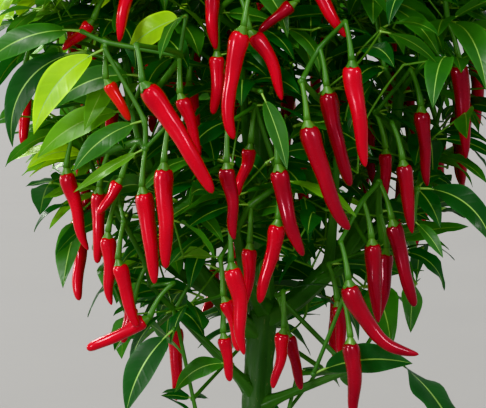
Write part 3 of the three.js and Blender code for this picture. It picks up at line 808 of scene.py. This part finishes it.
def keep_in_view():
    """Finer growth stays out of the way of limbs in view, and of leaves whose place is known."""
    for name, low, high in LIMBS_IN_VIEW:
        limb = limbs[name]
        places = [limb.point(share * limb.share) for share in np.linspace(low, high, LIMB_BEADS)]
        shown.add(np.array(places), limb.radius_at(0.5), 0)
    for mass in MASSES:
        for leaf in mass["leaf_parts"]:
            if leaf.tone is not None:
                shown.add(*leaf.beads, 0)


# Meshes from arrays


class Batch:
    """Many small surfaces that become one mesh. Faces have a colour's number, corners a place."""

    def __init__(self):
        self.points, self.places, self.corners, self.sizes, self.tones = [], [], [], [], []
        self.count = 0

    def grid(self, points, places, tones, closed=False):
        """A net of points, rows by columns. Tones has one number, or one for each column of quads."""
        rows, columns = points.shape[:2]
        index = np.arange(rows * columns).reshape(rows, columns) + self.count
        after = np.roll(index, -1, axis=1) if closed else index[:, 1:]
        before = index if closed else index[:, :-1]
        quads = np.stack((before[:-1], after[:-1], after[1:], before[1:]), axis=2).reshape(-1, 4)
        self.points.append(points.reshape(-1, 3))
        self.places.append(places.reshape(-1, 2))
        self.corners.append(quads.reshape(-1))
        self.sizes.append(np.full(len(quads), 4))
        self.tones.append(np.tile(np.broadcast_to(tones, before.shape[1]), rows - 1))
        self.count += rows * columns
        return index

    def cap(self, ring, tone):
        """One flat face over a ring of points."""
        self.corners.append(np.asarray(ring))
        self.sizes.append(np.array([len(ring)]))
        self.tones.append(np.array([tone]))

    def build(self, name, materials):
        mesh = bpy.data.meshes.new(name)
        points = np.concatenate(self.points) * MM
        corners = np.concatenate(self.corners)
        sizes = np.concatenate(self.sizes)
        mesh.vertices.add(len(points))
        mesh.vertices.foreach_set("co", points.astype(np.float32).ravel())
        mesh.loops.add(len(corners))
        mesh.loops.foreach_set("vertex_index", corners.astype(np.int32))
        mesh.polygons.add(len(sizes))
        mesh.polygons.foreach_set("loop_start", (np.cumsum(sizes) - sizes).astype(np.int32))
        mesh.polygons.foreach_set("material_index", np.concatenate(self.tones).astype(np.int32))
        mesh.polygons.foreach_set("use_smooth", np.ones(len(sizes), bool))
        mesh.update(calc_edges=True)
        layer = mesh.uv_layers.new(name="Place")
        layer.data.foreach_set("uv", np.concatenate(self.places)[corners].astype(np.float32).ravel())
        mesh.validate()
        for material in materials:
            mesh.materials.append(material)
        piece = bpy.data.objects.new(name, mesh)
        bpy.context.scene.collection.objects.link(piece)
        return piece


def tube(batch, line, radii, sides, tone, relief=None):
    """A round tube along a line. The relief gives each point's share of the radius."""
    line = np.asarray(line)
    radii = np.asarray(radii, float)
    alongs = np.gradient(line, axis=0)
    alongs /= np.linalg.norm(alongs, axis=1)[:, None]
    side = vec(1, 0, 0) if abs(alongs[0][2]) > 0.8 else UP
    widths = np.zeros_like(line)
    for i, along in enumerate(alongs):
        side = unit(side - along * (side @ along))
        widths[i] = side
    depths = np.cross(widths, alongs)
    angles = np.arange(sides) * 2 * math.pi / sides
    away = np.concatenate(([0], np.cumsum(np.linalg.norm(np.diff(line, axis=0), axis=1))))
    radius = radii[:, None] * np.ones(sides)
    if relief:
        radius = radius * relief(angles[None], away[:, None])
    points = (line[:, None] + widths[:, None] * (radius * np.cos(angles))[:, :, None]
              + depths[:, None] * (radius * np.sin(angles))[:, :, None])
    points[:, :, 2] = np.maximum(points[:, :, 2], 0)
    places = np.stack(np.broadcast_arrays(angles[None] / (2 * math.pi), away[:, None] * 0.05), axis=2)
    index = batch.grid(points, places, tone, closed=True)
    batch.cap(index[-1], tone)
    batch.cap(index[0][::-1], tone)


def smooth_line(points, spacing):
    """A smooth line through the points, and for each of its places the number of points passed."""
    points = np.asarray(points)
    moves = np.diff(points, axis=0)
    lengths = np.linalg.norm(moves, axis=1)[:, None]
    ways = moves / lengths
    middle = (ways[:-1] + ways[1:]) / 2 * np.minimum(lengths[:-1], lengths[1:])
    slopes = np.concatenate((moves[:1], middle, moves[-1:]))
    places, passed = [], []
    for i in range(len(points) - 1):
        count = max(2, math.ceil(size_of(points[i + 1] - points[i]) / spacing))
        t = (np.arange(count) / count)[:, None]
        places.append((2 * t ** 3 - 3 * t ** 2 + 1) * points[i] + (t ** 3 - 2 * t ** 2 + t) * slopes[i]
                      + (3 * t ** 2 - 2 * t ** 3) * points[i + 1] + (t ** 3 - t ** 2) * slopes[i + 1])
        passed.append(i + t[:, 0])
    places.append(points[-1:])
    passed.append(np.array([len(points) - 1.0]))
    return np.concatenate(places), np.concatenate(passed)


# Pieces

looks = np.random.default_rng(SEED)


def draw_each(ranges):
    return [looks.uniform(*ends) for ends in ranges.values()]


def swelling(away, height, reach):
    """How much thicker something is, as a share, at these distances from where it swells."""
    return 1 + height * np.exp(-(away / reach) ** 2)


def limb_relief(phase, cracked_up_to=0):
    """Low ribs along a green stem, with small knobs and, up to a height, cracks in the skin."""
    def relief(angle, away):
        ribs = np.cos(LIMB_SKIN["rib_count"] * angle + phase + 0.02 * away) * LIMB_SKIN["ribs"]
        ripple = LIMB_SKIN["ripple"] * np.sin(3 * angle - 0.21 * away + phase)
        ripple = ripple * np.sin(0.13 * away + 2 * phase)
        cracked = np.clip(1 - away / cracked_up_to, 0, 1) if cracked_up_to else 0
        cracks = LIMB_SKIN["cracks"] * cracked * np.cos(17 * angle + 0.9 * np.sin(0.31 * away) + phase)
        knobs = LIMB_SKIN["knobs"] * np.sin(7 * angle + 0.83 * away) * np.sin(0.47 * away - phase)
        return 1 + ribs + ripple + cracks + knobs
    return relief


def rounded(line, radii):
    """The line and its radii with a rounded end added."""
    along = unit(line[-1] - line[-2])
    ends = line[-1] + along * (radii[-1] * np.sin(ROUND_END))[:, None]
    return np.concatenate((line, ends)), np.concatenate((radii, radii[-1] * np.cos(ROUND_END)))


def stem_surface(batch):
    stem = limbs["stem"]
    height = STEM["tip"][2]
    shares = np.linspace(0, 1, round(height / LIMB_MESH["spacing"]))
    line = np.array([stem.point(share) for share in shares])
    radii = np.array([stem.radius_at(share) for share in shares])
    for mass in MASSES:
        if mass["from"] == "stem":
            radii = radii * swelling((shares - mass["at"]) * height, *FORK_SWELL)
    line, radii = rounded(line, radii)
    tube(batch, line, radii, LIMB_MESH["stem_sides"], 0, limb_relief(0.4, LIMB_SKIN["cracked_up_to"]))


def bough_surface(batch, mass, phase):
    limb = limbs["bough_" + mass["name"]]
    length = size_of(limb.ends[1] - limb.ends[0]) + size_of(limb.ends[2] - limb.ends[1])
    shares = np.linspace(0, 1, max(8, round(length / LIMB_MESH["spacing"])))
    line = np.array([limb.point(share) for share in shares])
    bough = np.minimum(shares / BOUGH_SHARE, 1)
    above = np.maximum(shares - BOUGH_SHARE, 0) / (1 - BOUGH_SHARE)
    radii = mass["radius"] * (1 - BOUGH_TAPER * bough) * (1 - MASS_STEM["taper"] * above)
    parent_radius = limbs[mass["from"]].radius_at(mass["at"])
    widening = min(ROOT_SWELL["most"], ROOT_SWELL["of_parent"] * parent_radius / mass["radius"] - 1)
    away = np.linalg.norm(line - line[0], axis=1)
    radii = radii * swelling(away, widening, ROOT_SWELL["reach"] * parent_radius)
    for node in mass["nodes"][:2]:
        radii = radii * swelling(np.linalg.norm(line - node.at, axis=1), *NODE_SWELL)
    line, radii = rounded(line, radii)
    tube(batch, line, radii, LIMB_MESH["sides"], 1, limb_relief(phase))


def limbs_piece(materials):
    batch = Batch()
    stem_surface(batch)
    for i, mass in enumerate(MASSES):
        bough_surface(batch, mass, 0.7 * i)
    return batch.build("limbs", materials)


def twig_radius(node):
    return FINE_TWIG if node.fine else TWIG["fine"] * node.load ** TWIG["growth"]


def twig_lines(mass):
    """The twigs as lines of nodes. Each goes on through its heaviest child that doesn't turn back."""
    heirs = {}
    for node in mass["nodes"]:
        parent = node.parent
        if not parent or parent.on_stem or parent.fine != node.fine:
            continue
        ahead = unit(node.at - parent.at) @ unit(parent.at - parent.parent.at)
        if ahead > TURN_LIMIT and (parent not in heirs or node.load > heirs[parent].load):
            heirs[parent] = node
    for first in mass["nodes"]:
        if first.on_stem or heirs.get(first.parent) is first:
            continue
        line = [first.parent, first]
        while line[-1] in heirs:
            line.append(heirs[line[-1]])
        yield line


def twigs_piece(materials):
    batch = Batch()
    for mass in MASSES:
        for nodes in twig_lines(mass):
            line, passed = smooth_line([node.at for node in nodes], TWIG_MESH["spacing"])
            own = [twig_radius(node) for node in nodes]
            own[0] = own[1]
            from_node = np.abs(passed - np.round(passed)) * TWIG_MESH["stretch"]
            radii = np.interp(passed, range(len(own)), own) * swelling(from_node, *TWIG_SWELL)
            line, radii = rounded(line, radii)
            fine = nodes[-1].fine
            tube(batch, line, radii, TWIG_MESH["fine_sides" if fine else "sides"], 0 if fine else 1)
    return batch.build("twigs", materials)


def read_along(shares, line):
    """Places at shares of the length of a line whose points are evenly spaced."""
    own = np.arange(len(line)) / (len(line) - 1)
    return np.stack([np.interp(shares, own, line[:, k]) for k in range(3)], axis=1)


def blade_half(share):
    """Half the blade's width at a share of its length, broad near the base and drawn out to the tip."""
    return 1.96 * (share + 0.004) ** 0.62 * (1.002 - share) ** 1.05


def twist_of(leaf):
    """How far the blade twists up to its tip. One whose place is known turns its face to the front."""
    if leaf.tone is None:
        return looks.uniform(*TWIST)
    middle = len(leaf.normals) // 2
    sight = unit(EYE - leaf.line[middle])
    turns = np.radians(np.arange(-SHOWN_TWIST["most"], SHOWN_TWIST["most"] + 1, SHOWN_TWIST["step"]))
    facing = np.cos(turns / 2) * (leaf.normals[middle] @ sight) + np.sin(turns / 2) * (leaf.across @ sight)
    return np.degrees(turns[np.argmax(np.abs(facing) - SHOWN_TWIST["cost"] * np.abs(turns))])


def leaf_surface(batch, leaf, tone):
    known = leaf.tone is not None
    rows = BLADE_ROWS
    if known:
        between = np.arange(2 * len(BLADE_ROWS) - 1) / 2
        rows = np.interp(between, np.arange(len(BLADE_ROWS)), BLADE_ROWS)
    shares = STALK + (1 - STALK) * rows
    centre = read_along(shares, leaf.line)
    normal = read_along(shares, leaf.normals)
    turn = np.radians(twist_of(leaf)) * rows[:, None]
    across = leaf.across * np.cos(turn) - normal * np.sin(turn)
    normal = normal * np.cos(turn) + leaf.across * np.sin(turn)
    width = leaf.width * (BROADER if known else 1)
    half = width / 2 * blade_half(rows)
    fold, curl, wave, beat, phase = draw_each(BLADE)
    away = np.abs(BLADE_COLUMNS)
    lift = half[:, None] * (fold * away + curl * away ** 2)
    ripple = np.sin(beat * 2 * math.pi * rows[:, None] + phase + 1.3 * np.sign(BLADE_COLUMNS))
    lift = lift + width * wave * ripple * away ** 2 * np.sqrt(half / half.max())[:, None]
    lift[:, 2:4] -= MIDRIB_DEPTH * width
    narrow = BLADE_COLUMNS * math.cos(fold)
    points = (centre[:, None] + across[:, None] * (half[:, None] * narrow)[:, :, None]
              + normal[:, None] * lift[:, :, None])
    places = np.stack(np.broadcast_arrays(BLADE_COLUMNS[None], rows[:, None]), axis=2)
    batch.grid(points[:, ::-1], places[:, ::-1], np.array((tone, tone, MIDRIB, tone, tone)))
    shares = np.linspace(0, STALK + LEAF_STALK["past"], len(LEAF_STALK_PROFILE))
    radius = LEAF_STALK["radius"] + LEAF_STALK["per_length"] * leaf.length
    tube(batch, read_along(shares, leaf.line), LEAF_STALK_PROFILE * radius, LEAF_STALK["sides"], MIDRIB)


def painted_light_tone(at):
    """A leaf colour's number for the spray at a place: painted light and shade, brighter where light falls.
    """
    edge = math.hypot(at[0], at[1]) / max(crown_radius(at[2]), 1)
    height = PAINTED_SPRAY_LIGHT["height"] * (at[2] - PAINTED_SPRAY_LIGHT["low"]) / PAINTED_SPRAY_LIGHT["span"]
    light = PAINTED_SPRAY_LIGHT["edge"] * edge + height - PAINTED_SPRAY_LIGHT["left"] * at[0] / CROWN["radius"]
    return int(np.searchsorted(SPRAY_STEPS, light + looks.normal(0, PAINTED_SPRAY_LIGHT["spread"])))


def leaves_pieces(materials):
    pieces = []
    for name, names in LEAF_PIECES.items():
        batch = Batch()
        for mass in MASSES:
            if mass["name"] not in names:
                continue
            sprays = {}
            for leaf in mass["leaf_parts"]:
                spray = tuple(np.round(leaf.node))
                if spray not in sprays:
                    sprays[spray] = painted_light_tone(leaf.node)
                # The tone is painted light and shade: set by the spray's place, or given for a leaf whose
                # place is known
                tone = sprays[spray] if leaf.tone is None else TONES.index(leaf.tone)
                leaf_surface(batch, leaf, tone)
        pieces.append((batch.build(name, materials), names))
    return pieces


def fruit_surface(batch, fruit, tone):
    turn = np.linspace(0, math.pi, FRUIT_MESH["rows"])
    shares = (1 - np.cos(turn)) / 2
    blunt, waist, phase, sway, twist, lobes, dents = draw_each(FRUIT_SHAPE)
    profile = mix((POINTED, BLUNT), blunt)
    radii = FRUIT_MESH["slim"] * fruit.radius * np.interp(shares, FRUIT_SHARES, profile)
    radii = radii * (1 - waist * np.sin(np.clip(shares * 1.3 - 0.15, 0, 1) * math.pi))
    sway = sway * fruit.radius * np.sin(math.pi * shares) * np.sin(4.6 * shares + phase)
    line = read_along(shares, fruit.line) + sway[:, None] * vec(math.cos(phase), math.sin(phase), 0)

    def relief(angle, away):
        shoulder = np.exp(-away / (0.3 * fruit.length))
        lobe = lobes * shoulder * np.cos(3 * angle + phase + twist * away)
        dent = dents * np.sin(0.19 * away + phase) * np.cos(angle - 2 * phase)
        pucker = FRUIT_MESH["pucker"] * np.sin(0.36 * away + 2 * angle + phase)
        return 1 + lobe + dent + pucker

    tube(batch, line, radii, FRUIT_MESH["sides"], tone, relief)


def stalk_surface(batch, fruit):
    """The fruit's stalk, which bows out of its node and hangs down, and the toothed cup at its end."""
    start, end = fruit.node, fruit.shoulder
    down = fruit.along(0)
    reach = size_of(end - start)
    middle = (start + end) / 2 + UP * reach * STALK_MESH["rise"] + outwards(end) * reach * STALK_MESH["out"]
    foot = end - down * STALK_MESH["short"]
    shares = np.linspace(0, 1, STALK_MESH["rows"])[:, None]
    line = (1 - shares) ** 2 * start + 2 * shares * (1 - shares) * middle + shares ** 2 * foot
    tube(batch, line, np.interp(shares[:, 0], *STALK_PROFILE), STALK_MESH["sides"], 0)
    cup = end - down * CALYX["above"] + down * (CALYX_ROWS * CALYX["length"])[:, None]

    def teeth(angle, away):
        return 1 + CALYX["wave"] * np.cos(CALYX["teeth"] * angle) * (away > CALYX["smooth"])

    tube(batch, cup, CALYX["radius"] * fruit.radius * CALYX_RADII, CALYX["sides"], 1, teeth)
    rim = batch.points[-1].reshape(len(CALYX_ROWS), CALYX["sides"], 3)
    angles = np.arange(CALYX["sides"]) * 2 * math.pi / CALYX["sides"]
    rim[-1] += down * (CALYX["tooth"] * np.cos(CALYX["teeth"] * angles))[:, None]


def fruit_pieces(fruit_materials, stalk_materials):
    fruits, stalks = Batch(), Batch()
    for mass in MASSES:
        for fruit in mass["fruit_parts"]:
            # Painted shade: fruit further to the right gets a darker colour
            painted_shade = looks.normal(0, FRUIT_PAINTED_SHADE["spread"]) + fruit.shoulder[0] / FRUIT_PAINTED_SHADE["across"]
            fruit_surface(fruits, fruit, int(np.searchsorted(FRUIT_STEPS, painted_shade)))
            stalk_surface(stalks, fruit)
    return fruits.build("fruit", fruit_materials), stalks.build("fruit_stalks", stalk_materials)


# Materials


def rgba(colour, share=1.0):
    return (colour[0] * share, colour[1] * share, colour[2] * share, 1)


class Look:
    """A material's node tree, with short calls for the nodes that it needs."""

    def __init__(self, name):
        self.material = bpy.data.materials.new(name)
        self.material.use_nodes = True
        self.tree = self.material.node_tree
        self.shader = self.tree.nodes["Principled BSDF"]
        self.where = self.node("TexCoord").outputs["Object"]

    def put(self, socket, value):
        """Links a socket to a node's output, or gives it a value of its own."""
        if isinstance(value, bpy.types.NodeSocket):
            self.tree.links.new(value, socket)
        else:
            socket.default_value = value

    def node(self, kind, inputs=None, **settings):
        made = self.tree.nodes.new("ShaderNode" + kind)
        for key, value in settings.items():
            setattr(made, key, value)
        for key, value in (inputs or {}).items():
            self.put(made.inputs[key], value)
        return made

    def math(self, operation, first, second=0.0):
        return self.node("Math", {0: first, 1: second}, operation=operation).outputs[0]

    def noise(self, scale, detail=3.0, roughness=0.55, flow=1.0):
        """Noise at the piece's own places. With a flow below 1 it is drawn out upwards."""
        where = self.where
        if flow != 1:
            where = self.node("Mapping", {"Vector": where, "Scale": (1.0, 1.0, flow)}).outputs["Vector"]
        inputs = {"Vector": where, "Scale": scale, "Detail": detail, "Roughness": roughness}
        return self.node("TexNoise", inputs).outputs["Fac"]

    def range(self, value, low, high, start=0.3, end=0.7):
        inputs = {"Value": value, "From Min": start, "From Max": end, "To Min": low, "To Max": high}
        return self.node("MapRange", inputs).outputs["Result"]

    def blend(self, share, first, second):
        return self.node("Mix", {0: share, 6: first, 7: second}, data_type="RGBA").outputs[2]

    def patches(self, noise, dark, pale):
        return self.blend(self.range(noise, 0.0, 1.0), dark, pale)

    def set(self, socket, value):
        self.put(self.shader.inputs[socket], value)

    def bump(self, height, strength, distance):
        made = self.node("Bump", {"Height": height, "Strength": strength, "Distance": distance})
        self.set("Normal", made.outputs["Normal"])

    def let_light_through(self, colour, share):
        """A share of the light that falls on the other side comes through in this colour."""
        through = self.node("BsdfTranslucent", {"Color": colour}).outputs[0]
        both = self.node("MixShader", {0: share, 1: self.shader.outputs[0], 2: through}).outputs[0]
        self.tree.links.new(both, self.tree.nodes["Material Output"].inputs["Surface"])


def leaf_material(tone):
    """Patches of two greens, with faint slanting veins, a paler rim that is painted rim light, and light
    that comes through.
    """
    look = Look("leaf_" + tone)
    place = look.node("UVMap", uv_map="Place").outputs["UV"]
    split = look.node("SeparateXYZ", {"Vector": place}).outputs
    across = look.math("ABSOLUTE", split["X"])
    beat = look.math("SUBTRACT", look.math("MULTIPLY", split["Y"], 25.0), look.math("MULTIPLY", across, 3.4))
    veins = look.math("POWER", look.math("ABSOLUTE", look.math("SINE", beat)), 14.0)
    dark, pale = LEAF_COLOURS[tone]
    patch = look.noise(34.0)
    base = look.patches(patch, rgba(dark), rgba(pale))
    base = look.blend(look.math("MULTIPLY", veins, 0.08), base, rgba(pale, 1.35))
    # Painted rim light: the blade is paler towards its edges, as if lit from behind
    rim = look.range(across, 0.0, 0.5, 0.8, 1.0)
    look.set("Base Color", look.blend(rim, base, rgba(pale, 1.8)))
    look.set("Roughness", look.range(look.noise(90.0), 0.3, 0.5))
    look.set("Specular IOR Level", 0.5)
    look.let_light_through(look.patches(patch, rgba(pale, 1.2), rgba(pale, 1.7)), 0.3)
    blister = look.math("MULTIPLY", look.noise(240.0, 2.0), 0.6)
    look.bump(look.math("SUBTRACT", blister, veins), 0.07, 0.0012)
    return look.material


def midrib_material():
    look = Look("leaf_midrib")
    patch = look.noise(60.0)
    look.set("Base Color", look.blend(patch, rgba((0.16, 0.34, 0.06)), rgba((0.3, 0.5, 0.11))))
    look.set("Roughness", look.range(patch, 0.35, 0.5))
    look.bump(look.noise(400.0), 0.2, 0.0005)
    return look.material


def skin_material(name):
    """Green skin in patches, with darker streaks along it."""
    look = Look(name)
    dark, pale = SKIN_COLOURS[name]
    streaks = look.noise(180.0, 4.0, flow=0.25)
    base = look.patches(look.noise(22.0), rgba(dark), rgba(pale))
    look.set("Base Color", look.blend(look.range(streaks, 0.0, 0.35), base, rgba(dark, 0.6)))
    look.set("Roughness", look.range(streaks, 0.34, 0.52))
    look.bump(streaks, 0.35, 0.0006)
    return look.material


def stem_material():
    """Dark green skin with pale corky streaks and flecks, browner towards the foot."""
    look = Look("stem_skin")
    height = look.node("SeparateXYZ", {"Vector": look.where}).outputs["Z"]
    streaks = look.noise(240.0, 5.0, 0.6, flow=0.1)
    flecks = look.math("GREATER_THAN", look.noise(520.0, 1.0, flow=0.45), 0.7)
    green = look.patches(look.noise(26.0), rgba((0.012, 0.058, 0.014)), rgba((0.03, 0.105, 0.022)))
    brown = look.patches(streaks, rgba((0.085, 0.062, 0.03)), rgba((0.21, 0.16, 0.085)))
    low = look.range(height, 0.95, 0.0, 0.0, 0.08)
    skin = look.blend(look.math("MULTIPLY", low, look.range(streaks, 0.55, 1.2)), green, brown)
    skin = look.blend(look.range(streaks, 0.0, 0.4), skin, rgba((0.08, 0.17, 0.045)))
    look.set("Base Color", look.blend(look.math("MULTIPLY", flecks, 0.35), skin, rgba((0.26, 0.28, 0.15))))
    look.set("Roughness", look.range(streaks, 0.42, 0.68))
    look.bump(streaks, 0.6, 0.0012)
    return look.material


def fruit_material(tone):
    """Red skin with fine wrinkles, a pink gloss and a clear coat."""
    look = Look("fruit_" + tone)
    deep, pale = FRUIT_COLOURS[tone]
    look.set("Base Color", look.patches(look.noise(70.0, flow=0.35), rgba(deep), rgba(pale)))
    look.set("Roughness", look.range(look.noise(160.0), 0.2, 0.32))
    look.set("Specular IOR Level", 0.7)
    look.set("Specular Tint", rgba((1.0, 0.4, 0.55)))
    look.set("Coat Weight", 0.4)
    look.set("Coat Roughness", 0.12)
    look.bump(look.noise(130.0, 2.0, flow=0.3), 0.16, 0.001)
    return look.material


# The stage: floor, lights and camera


def make_floor():
    look = Look("floor")
    patch = look.noise(3.0)
    look.set("Base Color", look.blend(patch, rgba((0.285, 0.285, 0.285)), rgba((0.3, 0.3, 0.3))))
    look.set("Roughness", look.range(patch, 0.6, 0.75))
    look.set("Specular IOR Level", 0.2)
    mesh = bpy.data.meshes.new("floor")
    corners = [(x * FLOOR_SIDE, y * FLOOR_SIDE, 0) for x, y in ((-1, -1), (1, -1), (1, 1), (-1, 1))]
    mesh.from_pydata(corners, [], [(0, 1, 2, 3)])
    mesh.materials.append(look.material)
    floor = bpy.data.objects.new("floor", mesh)
    bpy.context.scene.collection.objects.link(floor)


def aim(thing, target):
    away = Vector(target) - Vector(thing.location)
    thing.rotation_euler = away.to_track_quat("-Z", "Y").to_euler()


def add_light(name, azimuth, height, strength, colour, spread):
    """A soft sun, whose disc is as wide as the spread."""
    data = bpy.data.lights.new(name, "SUN")
    data.angle = math.radians(spread)
    data.energy = strength
    data.color = colour
    light = bpy.data.objects.new(name, data)
    middle = vec(*LIGHT_MIDDLE)
    light.location = middle + 2 * hanging(90 + height, azimuth)
    aim(light, middle)
    bpy.context.scene.collection.objects.link(light)


def make_lights():
    for light in LIGHTS:
        add_light(*light)
    world = bpy.data.worlds.new("studio")
    world.use_nodes = True
    background = world.node_tree.nodes["Background"]
    background.inputs["Color"].default_value = SKY["colour"]
    background.inputs["Strength"].default_value = SKY["strength"]
    bpy.context.scene.world = world


def set_view():
    """Colours that stay as saturated as they are lit, so that red fruit isn't washed out."""
    bpy.context.scene.view_settings.view_transform = "Khronos PBR Neutral"


def make_camera():
    data = bpy.data.cameras.new("camera")
    camera = bpy.data.objects.new("camera", data)
    camera.location = EYE * MM
    target = np.array(LOOK_AT) * MM
    aim(camera, target)
    distance = size_of(EYE * MM - target)
    data.lens = data.sensor_width * distance / (PICTURE_WIDTH_MM * MM)
    data.clip_start = 0.05
    bpy.context.scene.collection.objects.link(camera)
    bpy.context.scene.camera = camera


# The scene

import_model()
cad_box = np.array(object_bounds())
make_camera()
grow()
keep_in_view()
grow_finer()

limbs_object = limbs_piece([stem_material(), skin_material("bough_skin")])
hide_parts("stem", *["bough_" + mass["name"] for mass in MASSES])

twigs = twigs_piece([skin_material("twig_young"), skin_material("twig_green")])

leaf_materials = [leaf_material(tone) for tone in TONES] + [midrib_material()]
pieces = [limbs_object, twigs]
for piece, names in leaves_pieces(leaf_materials):
    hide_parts(*["mass_" + name for name in names])
    pieces.append(piece)

stalk_skins = [skin_material("fruit_stalk"), skin_material("calyx")]
fruit, stalks = fruit_pieces([fruit_material(tone) for tone in FRUIT_COLOURS], stalk_skins)
pieces += [fruit, stalks]
for piece in pieces:
    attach(piece, "root")

make_floor()
make_lights()
set_view()
